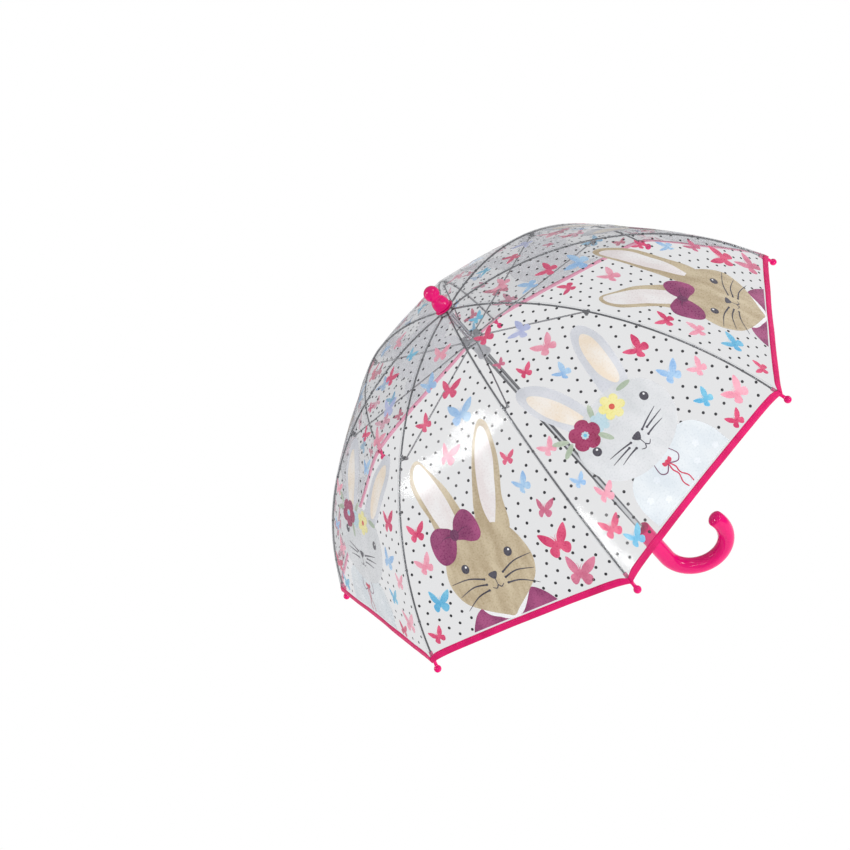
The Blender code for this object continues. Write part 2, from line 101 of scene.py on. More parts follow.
CHORD = math.hypot(CANOPY_RADIUS - NOTCH_RING, CANOPY_DROP)
CHORD_SLOPE = math.atan2(CANOPY_DROP, CANOPY_RADIUS - NOTCH_RING)
ARC_RADIUS = CHORD / (2 * math.sin(RIB_SWEEP / 2))
ARC_LENGTH = ARC_RADIUS * RIB_SWEEP
FIRST_SLOPE = CHORD_SLOPE - RIB_SWEEP / 2
LAST_SLOPE = CHORD_SLOPE + RIB_SWEEP / 2
JOINT_SLOPE = FIRST_SLOPE + JOINT_SHARE * RIB_SWEEP
HEM_LINE = ARC_LENGTH - HEM_WIDTH       # where the binding starts

PRINT_LIFT = 0.00010                    # the ink above the film
LAYER_LIFT = 0.00004                    # one layer of ink above another
ARTWORK_STEP = 0.005                    # spacing of the points inside a printed shape
HARD_EDGE = math.radians(50)            # an edge that turns more than this is shaded hard
IN_PLACE = Matrix()


def along_rib(share, lift=0.0):
    """(radius, height below the crown as a negative number) at a share of the ribs' arc."""
    slope = FIRST_SLOPE + share * RIB_SWEEP
    radius = NOTCH_RING + ARC_RADIUS * (np.sin(slope) - math.sin(FIRST_SLOPE))
    height = ARC_RADIUS * (np.cos(slope) - math.cos(FIRST_SLOPE))
    return radius + lift * np.sin(slope), height + lift * np.cos(slope)


def film_lift(along):
    """How far the seams stand off the ribs' middle line, which is more at the crown and the hem."""
    crown_rise, crown_reach, hem_rise, hem_reach = 0.0017, 0.014, 0.0016, 0.022
    crown = crown_rise * np.exp(-((along / crown_reach) ** 2))
    hem = hem_rise * np.exp(-(((ARC_LENGTH - along) / hem_reach) ** 2))
    return FILM_LIFT + crown + hem


def half_width(along):
    radius, _ = along_rib(along / ARC_LENGTH, film_lift(along))
    return radius * math.sin(HALF_SECTOR)


def ripples(across, along, phase):
    """How far the film stands out between the ribs: a billow, seam edges, waves, and pulls to the tips."""
    billow_height, wave_height, pull_height, pull_fade, pull_start = 0.0010, 0.0004, 0.0005, 0.085, 0.02
    share = np.clip(np.abs(across) / half_width(along), 0.0, 1.0)
    down = np.clip(along / ARC_LENGTH, 0.0, 1.0)
    free = 1.0 - share**2
    billow = billow_height * free * np.sin(math.pi * down)
    edge = SEAM_LIP * (1 - share**8) * down**2
    waves = wave_height * free * (1 + np.sin(along * 105 + phase + 2.2 * np.sin(across * 38 + phase)))
    pulls = 0.0
    for side in (-1, 1):
        corner = side * half_width(ARC_LENGTH)
        reach = np.hypot(across - corner, along - ARC_LENGTH)
        turn = np.arctan2(ARC_LENGTH - along, side * (corner - across) + 1e-6)
        strength = pull_height * np.exp(-reach / pull_fade) * np.minimum(reach / pull_start, 1.0)
        pulls = pulls + strength * free * (1 + np.sin(turn * 21 + phase * side))
    return billow + edge + waves + pulls


def on_gore(number, across, along, lift=0.0):
    """Points of panel number, as an array of rows (x, y, z)."""
    across, along = np.asarray(across, float), np.asarray(along, float)
    azimuth = (number - 0.5) * SECTOR
    share = along / ARC_LENGTH
    slope = FIRST_SLOPE + share * RIB_SWEEP
    radius, height = along_rib(share, film_lift(along))
    raised = lift + ripples(across, along, 1.7 * number)
    run, rise = np.cos(slope) * math.cos(HALF_SECTOR), -np.sin(slope)
    length = np.hypot(run, rise)
    out = radius * math.cos(HALF_SECTOR) - raised * rise / length
    height = CROWN + height + raised * run / length
    x = out * math.cos(azimuth) - across * math.sin(azimuth)
    y = out * math.sin(azimuth) + across * math.cos(azimuth)
    return np.stack([x, y, height], axis=-1)


def spoke(number, ring, height):
    """A place on a ring, at rib number, with X outwards and Y along the hinge there."""
    return Matrix.Rotation((number - 1) * SECTOR, 4, "Z") @ Matrix.Translation((ring, 0.0, height))


def rib_point(share):
    """A point of a rib's middle line, from its hinge."""
    radius, height = along_rib(share)
    return Vector((radius - NOTCH_RING, 0.0, height))


# ---- material nodes ------------------------------------------------------------------------------
def new_material(name):
    """(material, its node tree, its Principled shader)."""
    made = bpy.data.materials.new(name)
    made.use_nodes = True
    return made, made.node_tree, made.node_tree.nodes["Principled BSDF"]


def give(tree, socket, value):
    """A socket takes a link from another socket, or a constant."""
    if isinstance(value, bpy.types.NodeSocket):
        tree.links.new(value, socket)
    else:
        socket.default_value = value


def fed(tree, made, **values):
    """The node, with each value given to the input of that name, or else set as a property."""
    for name, value in values.items():
        found = [s for s in made.inputs if s.name.lower() == name.replace("_", " ")]
        if found:
            give(tree, found[0], value)
        else:
            setattr(made, name, value)
    return made


def node(tree, kind, **values):
    return fed(tree, tree.nodes.new("ShaderNode" + kind), **values)


def calc(tree, operation, *values, clamp=False):
    """The result of a Math node over sockets and numbers."""
    made = node(tree, "Math", operation=operation, use_clamp=clamp)
    for socket, value in zip(made.inputs, values):
        give(tree, socket, value)
    return made.outputs[0]


def mixed(tree, share, first, second):
    """Two shader nodes mixed: the second by the share."""
    made = node(tree, "MixShader", fac=share)
    give(tree, made.inputs[1], first.outputs[0])
    give(tree, made.inputs[2], second.outputs[0])
    return made


def coordinates(tree, kind="Object"):
    return node(tree, "TexCoord").outputs[kind]


def noise(tree, place, scale, detail=4.0, stretch=(1, 1, 1), seed=0.0):
    """The value of a noise texture over a coordinate socket."""
    mapped = node(tree, "Mapping", vector=place, scale=stretch, location=(seed, seed * 0.7, 0))
    return node(tree, "TexNoise", vector=mapped.outputs[0], scale=scale, detail=detail).outputs["Fac"]


def bands(tree, place, scale, distortion, detail=2.0, direction="X"):
    """The value of a wave texture in bands."""
    made = node(tree, "TexWave", vector=place, scale=scale, distortion=distortion, detail=detail)
    made.bands_direction = direction
    return made.outputs["Fac"]


def ramp(tree, value, *stops):
    """A colour ramp over a value: stops are (position, colour)."""
    made = node(tree, "ValToRGB", fac=value)
    bar = made.color_ramp
    while len(bar.elements) < len(stops):
        bar.elements.new(0.5)
    for element, (position, colour) in zip(bar.elements, stops):
        element.position = position
        element.color = (*colour, 1.0)
    return made.outputs["Color"]


def tint(tree, value, dark, light, start=0.3, end=0.7):
    """A colour from dark to light over the value's stretch from start to end."""
    return ramp(tree, value, (start, dark), (end, light))


def spread(tree, value, low, high, start=0.3, end=0.7):
    """The value's middle stretch from start to end, spread from low to high."""
    made = node(tree, "MapRange", value=value, from_min=start, from_max=end, to_min=low, to_max=high)
    return made.outputs["Result"]


def bump(tree, value, distance, strength):
    return node(tree, "Bump", height=value, distance=distance, strength=strength).outputs["Normal"]


def shaded(colour, by):
    return tuple(min(1.0, c * by) for c in colour)


# ---- materials -----------------------------------------------------------------------------------
PINK = (0.78, 0.003, 0.16)
# each tape's darkest and lightest colour; painted shade from the weave and a random drift move it between
# them
TAPE = (0.576, 0.0016, 0.104), (0.79, 0.005, 0.16)
TAPE_BACK = (0.64, 0.25, 0.36), (0.76, 0.36, 0.48)
FILM_GREY = (0.60, 0.61, 0.63)


def glossy_pink():
    """Moulded plastic: a slow drift of colour, fine orange peel and faint handling marks."""
    made, tree, shader = new_material("glossy_pink")
    place = coordinates(tree)
    marks = noise(tree, place, 260, 6, (1, 1, 0.25), 4.0)
    peel = noise(tree, place, 420, 2, seed=2.0)
    fed(
        tree, shader,
        base_color=tint(tree, noise(tree, place, 22, 3), shaded(PINK, 0.93), shaded(PINK, 1.04)),
        roughness=spread(tree, marks, 0.06, 0.13), normal=bump(tree, peel, 0.00003, 0.5),
        specular_ior_level=0.25, coat_weight=0.25, coat_roughness=0.04,
    )
    return made


def clear_pink():
    """The thin rubbery sleeve on a rib's end lets some of the rib show."""
    made, tree, shader = new_material("clear_pink")
    drift = noise(tree, coordinates(tree), 300, 3)
    fed(
        tree, shader, base_color=tint(tree, drift, (0.86, 0.10, 0.30), (0.92, 0.22, 0.42)),
        roughness=0.2, alpha=0.7,
    )
    return made


def tape_cloth(name, dark, light):
    """Woven polyester tape: fine ribs across its length with painted shade in their grooves, a random drift
    of colour and a soft sheen.
    """
    made, tree, shader = new_material(name)
    place = coordinates(tree, "UV")
    weave = calc(
        tree, "MULTIPLY", bands(tree, place, 14.0, 0.6, 1.0), bands(tree, place, 22.0, 0.4, 1.0, "Y")
    )
    # painted shade: the weave's grooves darken the colour, mixed with a random drift
    weave_shade_and_drift = calc(tree, "MULTIPLY_ADD", weave, 0.35, noise(tree, coordinates(tree), 60, 3))
    fed(
        tree, shader, base_color=tint(tree, weave_shade_and_drift, dark, light, 0.35, 0.85),
        normal=bump(tree, weave, 0.00006, 0.6), roughness=0.42, specular_ior_level=0.22,
        sheen_weight=0.06, sheen_roughness=0.4,
    )
    return made


def thread(name, colour):
    """Twisted thread: slanted strands, with painted shade between them and painted highlight on their crowns.
    """
    made, tree, shader = new_material(name)
    strands = bands(tree, coordinates(tree), 900.0, 1.5)
    # painted shade and highlight: the colour darkens between the twisted strands and lightens on their crowns
    strand_shade_and_highlight = tint(tree, strands, shaded(colour, 0.7), shaded(colour, 1.1), 0.2, 0.8)
    fed(tree, shader, base_color=strand_shade_and_highlight, roughness=0.6)
    return made


def clear_film(name="clear_film", body=0.10, through=0.80):
    """Clear vinyl: mostly see-through, a grey cast, gloss that grows aslant, faint cloudy patches."""
    made, tree, shader = new_material(name)
    place = coordinates(tree)
    cloud = noise(tree, place, 14, 4)
    fed(
        tree, shader, base_color=tint(tree, cloud, shaded(FILM_GREY, 0.94), shaded(FILM_GREY, 1.05)),
        normal=bump(tree, noise(tree, place, 55, 4, seed=7.0), 0.0004, 0.34), roughness=0.09, ior=2.6,
    )
    clear = node(tree, "BsdfTransparent", color=(through, through + 0.003, through + 0.01, 1.0))
    steep = calc(tree, "POWER", node(tree, "LayerWeight", blend=0.5).outputs["Facing"], 4.0)
    patchy = spread(tree, cloud, body - 0.02, body + 0.02)
    share = calc(tree, "MULTIPLY_ADD", steep, 0.30, patchy, clamp=True)
    fed(tree, tree.nodes["Material Output"], surface=mixed(tree, share, clear, shader).outputs[0])
    return made


# each ink's darkest and lightest colour, and how far it covers the film
INKS = {
    "black": ((0.012, 0.012, 0.016), (0.03, 0.03, 0.035), 1.0),
    "charcoal": ((0.045, 0.04, 0.055), (0.09, 0.085, 0.11), 1.0),
    "raspberry": ((0.62, 0.03, 0.13), (0.84, 0.12, 0.24), 1.0),
    "blush": ((0.84, 0.24, 0.36), (0.93, 0.42, 0.52), 0.94),
    "rose": ((0.56, 0.10, 0.20), (0.74, 0.20, 0.32), 0.96),
    "sky": ((0.22, 0.44, 0.78), (0.44, 0.66, 0.88), 0.94),
    "turquoise": ((0.08, 0.42, 0.70), (0.24, 0.62, 0.80), 0.96),
    "turquoise_pale": ((0.50, 0.70, 0.78), (0.66, 0.80, 0.86), 0.9),
    "lavender": ((0.40, 0.46, 0.76), (0.56, 0.60, 0.84), 0.92),
    "fawn": ((0.46, 0.36, 0.225), (0.63, 0.53, 0.36), 1.0),
    "ear_pink": ((0.86, 0.79, 0.78), (0.94, 0.92, 0.91), 0.96),
    "plum": ((0.21, 0.025, 0.11), (0.40, 0.075, 0.21), 1.0),
    "berry": ((0.27, 0.012, 0.07), (0.44, 0.05, 0.16), 1.0),
    "plum_dark": ((0.12, 0.02, 0.08), (0.22, 0.05, 0.14), 1.0),
    "underbase": ((0.88, 0.88, 0.89), (0.95, 0.95, 0.96), 0.94),
    "paper": ((0.84, 0.84, 0.86), (0.93, 0.93, 0.94), 1.0),
    "snow": ((0.70, 0.72, 0.735), (0.79, 0.80, 0.815), 0.92),
    "snow_edge": ((0.71, 0.73, 0.78), (0.81, 0.825, 0.87), 0.86),
    "peach": ((0.93, 0.80, 0.64), (0.98, 0.92, 0.84), 0.95),
    "lemon": ((0.88, 0.80, 0.25), (0.92, 0.86, 0.42), 0.96),
    "poppy": ((0.60, 0.05, 0.04), (0.72, 0.12, 0.08), 1.0),
    "leaf": ((0.42, 0.52, 0.38), (0.58, 0.66, 0.52), 0.85),
    "ice": ((0.71, 0.77, 0.815), (0.80, 0.845, 0.87), 0.94),
    "frost": ((0.76, 0.81, 0.86), (0.87, 0.905, 0.93), 0.96),
    "crimson": ((0.52, 0.015, 0.06), (0.70, 0.04, 0.12), 1.0),
}
EVEN_WASH = (1.4, 0.8, 1)               # how finely an ink is streaked, across and along
BRUSHED = {"fawn": (2.2, 0.7, 1)}


def ink(name):
    """Watercolour ink on vinyl: pooled pigment, soft streaks, paper-like grain and a clear gloss."""
    label = "ink_" + name
    if label in bpy.data.materials:
        return bpy.data.materials[label]
    dark, light, cover = INKS[name]
    made, tree, shader = new_material(label)
    place = coordinates(tree, "UV")
    wash = noise(tree, place, 3.2, 6, BRUSHED.get(name, EVEN_WASH), 3.0)
    grain = noise(tree, place, 46, 4, seed=9.0)
    pooled = calc(tree, "MULTIPLY_ADD", grain, 0.35, wash)
    fed(
        tree, shader, base_color=tint(tree, pooled, dark, light, 0.52, 0.82),
        roughness=spread(tree, grain, 0.24, 0.36), coat_weight=0.7, coat_roughness=0.20, alpha=cover,
    )
    return made


def metal(name, colour, roughness, stretch=(1, 1, 1)):
    """Drawn or plated metal: long fine streaks in its gloss, and slightly uneven colour."""
    made, tree, shader = new_material(name)
    place = coordinates(tree)
    streaks = noise(tree, place, 180.0, 5, stretch)
    drift = noise(tree, place, 35, 3, seed=5.0)
    fed(
        tree, shader, base_color=tint(tree, drift, shaded(colour, 0.9), shaded(colour, 1.06)),
        roughness=spread(tree, streaks, roughness * 0.75, roughness * 1.35),
        normal=bump(tree, streaks, 0.00001, 0.4), metallic=1.0,
    )
    return made


def moulded_grey():
    """Pale grey nylon, slightly waxy, with a fine moulded grain."""
    made, tree, shader = new_material("moulded_grey")
    place = coordinates(tree)
    drift = noise(tree, place, 70, 4)
    grain = noise(tree, place, 900, 3, seed=1.0)
    fed(
        tree, shader, base_color=tint(tree, drift, (0.50, 0.51, 0.53), (0.60, 0.61, 0.63)),
        roughness=spread(tree, grain, 0.3, 0.42), normal=bump(tree, grain, 0.00003, 0.5),
    )
    return made


# ---- pieces ----------------------------------------------------------------------------------------
def piece(name, points, faces, materials, body, indices=None, flat=None):
    """A mesh piece that rides on a body; flat holds each point's flat place for its UV map."""
    mesh = bpy.data.meshes.new(name)
    mesh.from_pydata([tuple(p) for p in points], [], [tuple(f) for f in faces])
    for material in materials:
        mesh.materials.append(material)
    if indices is not None:
        mesh.polygons.foreach_set("material_index", np.asarray(indices, np.int32))
    if flat is not None:
        layer = mesh.uv_layers.new(name="gore")
        corner_points = np.zeros(len(mesh.loops), np.int32)
        mesh.loops.foreach_get("vertex_index", corner_points)
        layer.data.foreach_set("uv", (np.asarray(flat, np.float32)[corner_points] * 10).ravel())
    mesh.shade_smooth()
    made = bpy.data.objects.new(name, mesh)
    bpy.context.scene.collection.objects.link(made)
    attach(made, body)
    return made


def outward(made):
    """The piece with every closed shell's faces turned outwards."""
    work = bmesh.new()
    work.from_mesh(made.data)
    bmesh.ops.recalc_face_normals(work, faces=work.faces)
    work.to_mesh(made.data)
    work.free()
    return made


def moved(points, matrix):
    return [matrix @ Vector(p) for p in points]


def solid(name, shape, place, material, body, stands_for=None, flat=None, sharp=None):
    """A closed piece from (points, faces), moved into place; it may stand for a CAD node."""
    points, faces = shape
    made = piece(name, moved(points, place), faces, [material], body, flat=flat)
    if sharp:
        made.data.set_sharp_from_angle(angle=sharp)
    if stands_for:
        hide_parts(stands_for)
    return outward(made)


def joined(parts):
    """One (points, faces) from several."""
    points, faces = [], []
    for more_points, more_faces in parts:
        start = len(points)
        points += [Vector(p) for p in more_points]
        faces += [tuple(start + i for i in face) for face in more_faces]
    return points, faces


def grid_faces(rows, columns, closed=False):
    """Quads over a grid of rows by columns of points; closed joins the last column to the first."""
    faces = []
    for i in range(rows - 1):
        for j in range(columns if closed else columns - 1):
            k = (j + 1) % columns
            faces.append((i * columns + j, i * columns + k, (i + 1) * columns + k, (i + 1) * columns + j))
    return faces


def sheet_faces(rows, columns):
    """The same over a grid laid on a gore from left to right and downwards, facing outwards."""
    return [face[::-1] for face in grid_faces(rows, columns)]


def turned_mesh(profile, steps):
    """(points, faces) of a closed turned solid; an end on the axis becomes a single point."""
    points, rings = [], []
    for radius, height in profile:
        if radius < 1e-7:
            rings.append([len(points)])
            points.append((0.0, 0.0, height))
            continue
        rings.append([len(points) + i for i in range(steps)])
        for i in range(steps):
            turn = 2 * math.pi * i / steps
            points.append((radius * math.cos(turn), radius * math.sin(turn), height))
    faces = []
    for upper, lower in zip(rings, rings[1:] + rings[:1]):
        if len(upper) == 1 and len(lower) == 1:
            continue
        for i in range(steps):
            k = (i + 1) % steps
            if len(upper) == 1:
                faces.append((upper[0], lower[i], lower[k]))
            elif len(lower) == 1:
                faces.append((upper[i], lower[0], upper[k]))
            else:
                faces.append((upper[i], lower[i], lower[k], upper[k]))
    return points, faces


def rounded(profile, radius, steps=4):
    """The profile with each inner corner replaced by an arc-like curve of about that radius."""
    made = [profile[0]]
    for before, corner, after in zip(profile, profile[1:], profile[2:]):
        corner = Vector(corner)
        to_before, to_after = Vector(before) - corner, Vector(after) - corner
        cut = min(radius, to_before.length * 0.45, to_after.length * 0.45)
        start = corner + to_before.normalized() * cut
        end = corner + to_after.normalized() * cut
        for i in range(steps + 1):
            t = i / steps
            made.append(tuple(start * (1 - t) ** 2 + corner * 2 * t * (1 - t) + end * t**2))
    made.append(profile[-1])
    return made


def rounded_ring(profile, radius, steps=4, crease=False):
    """The same for a closed profile; its first corner stays as it is, and a crease there is shaded hard."""
    made = rounded([*profile, profile[0]], radius, steps)
    return made if crease else made[:-1]


def swept(path, radius, sides, radii=None, groove=None, normal=None):
    """(points, faces) of a round bar along a path with closed ends."""
    path = [Vector(p) for p in path]
    last = len(path) - 1
    tangents = [(path[min(i + 1, last)] - path[max(i - 1, 0)]).normalized() for i in range(len(path))]
    reference = Vector(normal) if normal else tangents[0].orthogonal().normalized()
    points = []
    for i, centre in enumerate(path):
        side = (reference - tangents[i] * reference.dot(tangents[i])).normalized()
        up = tangents[i].cross(side)
        reference = side
        size = radius * (radii[i] if radii else 1.0)
        for j in range(sides):
            turn = 2 * math.pi * j / sides
            reach = size + (groove(turn) if groove and size > radius * 0.8 else 0.0)
            points.append(centre + side * reach * math.cos(turn) + up * reach * math.sin(turn))
    faces = grid_faces(len(path), sides, closed=True)
    first = len(points)
    points += [path[0], path[-1]]
    for j in range(sides):
        k = (j + 1) % sides
        faces.append((first, k, j))
        faces.append((first + 1, last * sides + j, last * sides + k))
    return points, faces


def refined(node_name, name, material, body, width):
    """The CAD node's own shape with its edges rounded off."""
    mesh = frame["nodes"][node_name].data.copy()
    made = bpy.data.objects.new(name, mesh)
    bpy.context.scene.collection.objects.link(made)
    work = bmesh.new()
    work.from_mesh(mesh)
    bmesh.ops.remove_doubles(work, verts=work.verts, dist=0.000002)
    bmesh.ops.dissolve_limit(work, angle_limit=math.radians(2), verts=work.verts, edges=work.edges)
    work.to_mesh(mesh)
    work.free()
    mesh.materials.clear()
    mesh.materials.append(material)
    edge = made.modifiers.new("edges", "BEVEL")
    edge.width = width
    edge.segments = 3
    edge.limit_method = "ANGLE"
    edge.angle_limit = math.radians(38)
    mesh.shade_smooth()
    bpy.context.view_layer.update()
    graph = bpy.context.evaluated_depsgraph_get()
    made.data = bpy.data.meshes.new_from_object(made.evaluated_get(graph))
    made.modifiers.clear()
    made.data.shade_smooth()
    made.data.set_sharp_from_angle(angle=HARD_EDGE)
    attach(made, body)
    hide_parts(node_name)


# ---- flat shapes for the artwork ---------------------------------------------------------------------
def spline(p0, p1, p2, p3, count):
    """Points of the smooth curve through four points, from the second up to the third."""
    p0, p1, p2, p3 = Vector(p0), Vector(p1), Vector(p2), Vector(p3)
    made = []
    for step in range(count):
        t = step / count
        square = (2 * p0 - 5 * p1 + 4 * p2 - p3) * t**2
        cube = (3 * p1 - p0 - 3 * p2 + p3) * t**3
        made.append(0.5 * (2 * p1 + (p2 - p0) * t + square + cube))
    return made


def smooth_loop(points, per_side=5):
    """A closed smooth curve through a few points."""
    made = []
    for i in range(len(points)):
        made += spline(*(points[(i + d) % len(points)] for d in (-1, 0, 1, 2)), per_side)
    return made


def open_curve(points, per_side=6):
    """A smooth open curve through the points."""
    padded = [points[0], *points, points[-1]]
    made = []
    for corners in zip(padded, padded[1:], padded[2:], padded[3:]):
        made += spline(*corners, per_side)
    return [*made, Vector(points[-1])]


def set_down(points, place, turn=0.0, size=1.0):
    """Flat points sized, turned and moved to a place."""
    cos, sin = size * math.cos(turn), size * math.sin(turn)
    return [(place[0] + x * cos - y * sin, place[1] + x * sin + y * cos) for x, y in points]


def polar(reach, count):
    """Points round the origin, at the reach for each angle, which may be a pair for an oval."""
    made = []
    for i in range(count):
        angle = 2 * math.pi * i / count
        wide, high = reach(angle)
        made.append((wide * math.cos(angle), high * math.sin(angle)))
    return made


def oval(centre, width, height, turn=0.0, steps=24):
    return set_down(polar(lambda angle: (width, height), steps), centre, turn)


def rosette(centre, radius, petals, depth, turn=0.0):
    """A flower seen from above: round petals with notches between them."""

    def reach(angle):
        swell = abs(math.cos(petals * angle / 2)) ** 0.6
        return (radius * (1 - depth + depth * swell),) * 2

    return set_down(polar(reach, petals * 8), centre, turn)


def stroke(points, width, taper=0.25):
    """A brush line along a smooth curve, thinner towards its far end."""
    line = open_curve(points)
    last = len(line) - 1
    left, right = [], []
    for i, point in enumerate(line):
        along = (line[min(i + 1, last)] - line[max(i - 1, 0)]).normalized()
        half = width / 2 * (1 - (1 - taper) * (i / last) ** 1.5)
        normal = Vector((-along.y, along.x)) * half
        left.append(point + normal)
        right.append(point - normal)
    return left + right[::-1]


def filled(outline, step=ARTWORK_STEP):
    """(points, triangles) that fill a flat outline, with points inside it so that it can bend."""
    rim = []
    for here, ahead in zip(outline, outline[1:] + outline[:1]):
        here, ahead = Vector(here), Vector(ahead)
        cuts = max(1, math.ceil((ahead - here).length / step))
        rim += [here.lerp(ahead, i / cuts) for i in range(cuts)]
    xs, ys = zip(*outline)
    points = list(rim)
    for i in range(1, int((max(xs) - min(xs)) / step) + 1):
        for j in range(1, int((max(ys) - min(ys)) / step) + 1):
            points.append(Vector((min(xs) + i * step, min(ys) + j * step)))
    made, _, faces, *_ = delaunay_2d_cdt(points, [], [list(range(len(rim)))], 1, 1e-7)
    used = sorted({i for face in faces for i in face})
    place = {old: new for new, old in enumerate(used)}
    return [tuple(made[i]) for i in used], [tuple(place[i] for i in face) for face in faces]


def inside(point, outline):
    """Whether a flat point lies in an outline."""
    x, y = point
    hit = False
    for (x1, y1), (x2, y2) in zip(outline, outline[1:] + outline[:1]):
        if (y1 > y) != (y2 > y) and x < (x2 - x1) * (y - y1) / (y2 - y1) + x1:
            hit = not hit
    return hit


# ---- artwork: each shape is (outline, ink, layer); it is drawn in centimetres ---------------------------
CM = 0.01
PORTRAIT_RAISE = 0.3                    # the portraits sit this much nearer the crown
COAT_END = 42.05                        # where clothes end, just above the binding

WING_UPPER = [
    (0.02, 0.08), (0.02, -0.05), (0.12, -0.25), (0.30, -0.42), (0.50, -0.53), (0.55, -0.47),
    (0.49, -0.22), (0.38, -0.06), (0.22, 0.05),
]
WING_LOWER = [
    (0.02, 0.0), (0.20, 0.02), (0.36, 0.07), (0.42, 0.18), (0.37, 0.32), (0.26, 0.41), (0.14, 0.38),
    (0.04, 0.22),
]


def butterfly(across, along, span, turn, ink_name, lean):
    """Wings, a body and feelers about a place; lean below 1 turns it to one side."""
    halves = ((1, 1.0), (-1, lean))
    shapes = []
    for side, width in halves:
        for wing in (WING_LOWER, WING_UPPER):
            shapes.append((smooth_loop([(x * side * width, y) for x, y in wing], 4), 0))
    shapes.append((oval((0, 0.03), 0.035, 0.20, steps=14), 1))
    for side, width in halves:
        feeler = [(0.01 * side, -0.12), (0.05 * side * width, -0.24), (0.11 * side * width, -0.31)]
        shapes.append((stroke(feeler, 0.02), 0))
    place, turn = (across * CM, along * CM), math.radians(turn)
    return [(set_down(outline, place, turn, span * CM), ink_name, layer) for outline, layer in shapes]


# across and along in centimetres, span, turn in degrees, ink, and how wide the left wings are
TAN_BUTTERFLIES = [
    (0.1, 7.9, 2.4, 14, "blush", 0.9), (-1.8, 11.9, 2.5, -24, "sky", 0.6),
    (1.1, 14.0, 2.6, 18, "raspberry", 0.9), (-3.1, 16.9, 2.1, -30, "raspberry", 0.8),
    (2.1, 17.8, 3.1, 2, "sky", 1.0), (-0.9, 21.9, 2.7, 28, "blush", 0.6),
    (6.3, 25.3, 1.7, 12, "raspberry", 0.9), (6.9, 28.8, 2.2, -20, "sky", 0.6),
    (-8.0, 28.8, 2.3, 6, "raspberry", 0.9), (8.3, 32.2, 2.2, 20, "rose", 0.7),
    (-8.5, 32.6, 2.3, -10, "blush", 0.8), (8.0, 36.2, 3.4, -4, "raspberry", 0.9),
    (-8.7, 37.1, 2.7, 14, "turquoise", 0.8), (8.9, 40.0, 3.4, 22, "rose", 0.8),
    (-11.0, 40.6, 1.9, -12, "raspberry", 0.9),
]
WHITE_BUTTERFLIES = [
    (0.2, 6.8, 1.9, 10, "turquoise", 0.8), (-1.5, 10.5, 2.4, 16, "raspberry", 0.9),
    (1.2, 14.3, 2.6, -22, "lavender", 0.8), (-3.5, 15.2, 1.4, 8, "rose", 0.8),
    (-2.7, 18.6, 1.9, 24, "raspberry", 0.7), (1.2, 18.5, 2.6, 6, "blush", 1.0),
    (-0.4, 22.5, 2.1, -14, "sky", 0.6), (-8.2, 27.0, 1.9, 8, "blush", 0.9),
    (6.9, 27.5, 2.7, -16, "raspberry", 0.7), (-9.0, 32.0, 1.6, 18, "sky", 0.8),
    (6.9, 32.2, 2.5, 14, "sky", 0.8), (9.4, 34.2, 2.0, -8, "blush", 0.8),
    (-8.2, 35.0, 2.2, 26, "blush", 0.7), (7.1, 36.9, 2.0, -12, "turquoise", 0.8),
    (-10.6, 37.9, 2.4, 20, "raspberry", 0.8), (10.1, 39.2, 2.7, -6, "blush", 0.9),
    (-9.7, 40.5, 2.2, 12, "turquoise", 0.7), (7.6, 41.0, 1.9, 6, "raspberry", 0.9),
]

# where each whisker starts beside the nose and below it, how far its middle and end are below, its reach
FAWN_WHISKERS = (1.3, 0.05, -0.62, -0.70, 4.1), (1.3, 0.72, 0.45, 0.95, 3.7), (1.3, 1.40, 1.65, 2.70, 3.6)
SNOW_WHISKERS = (1.0, -0.10, -0.42, -0.70, 2.9), (1.55, 0.14, 0.08, 0.05, 2.6), (1.05, 0.74, 0.70, 0.80, 2.4)
NOSE = [(-0.55, -0.30), (0.0, -0.42), (0.55, -0.30), (0.42, 0.12), (0.0, 0.48), (-0.42, 0.12)]


def face(middle, eye_line, eye_gap, nose_line, whiskers):
    """A plain rabbit's face: two eyes, a small rounded nose, a short mouth and whiskers."""
    dark = []
    shapes = []
    for side in (-1, 1):
        eye = (middle + side * eye_gap, eye_line)
        dark.append(oval(eye, 0.50, 0.54))
        shapes.append((oval((eye[0] + 0.16, eye[1] - 0.18), 0.13, 0.13, steps=12), "paper", 6))
        for beside, root, middle_drop, end_drop, reach in whiskers:
            start = (middle + side * beside, nose_line + root)
            bend = (middle + side * (beside + reach * 0.45), nose_line + middle_drop)
            end = (middle + side * (beside + reach), nose_line + end_drop)
            dark.append(stroke([start, bend, end], 0.20))
            dark.append(oval(start, 0.15, 0.15, steps=12))
        mouth_end = (middle + side * 0.75, nose_line + 1.25)
        smile = [(middle, nose_line + 1.15), (middle + side * 0.30, nose_line + 1.5), mouth_end]
        dark.append(stroke(smile, 0.14, 0.5))
    dark.append(set_down(smooth_loop(NOSE, 4), (middle, nose_line)))
    dark.append(stroke([(middle, nose_line + 0.4), (middle, nose_line + 1.2)], 0.10, 0.8))
    return [(outline, "charcoal", 5) for outline in dark] + shapes


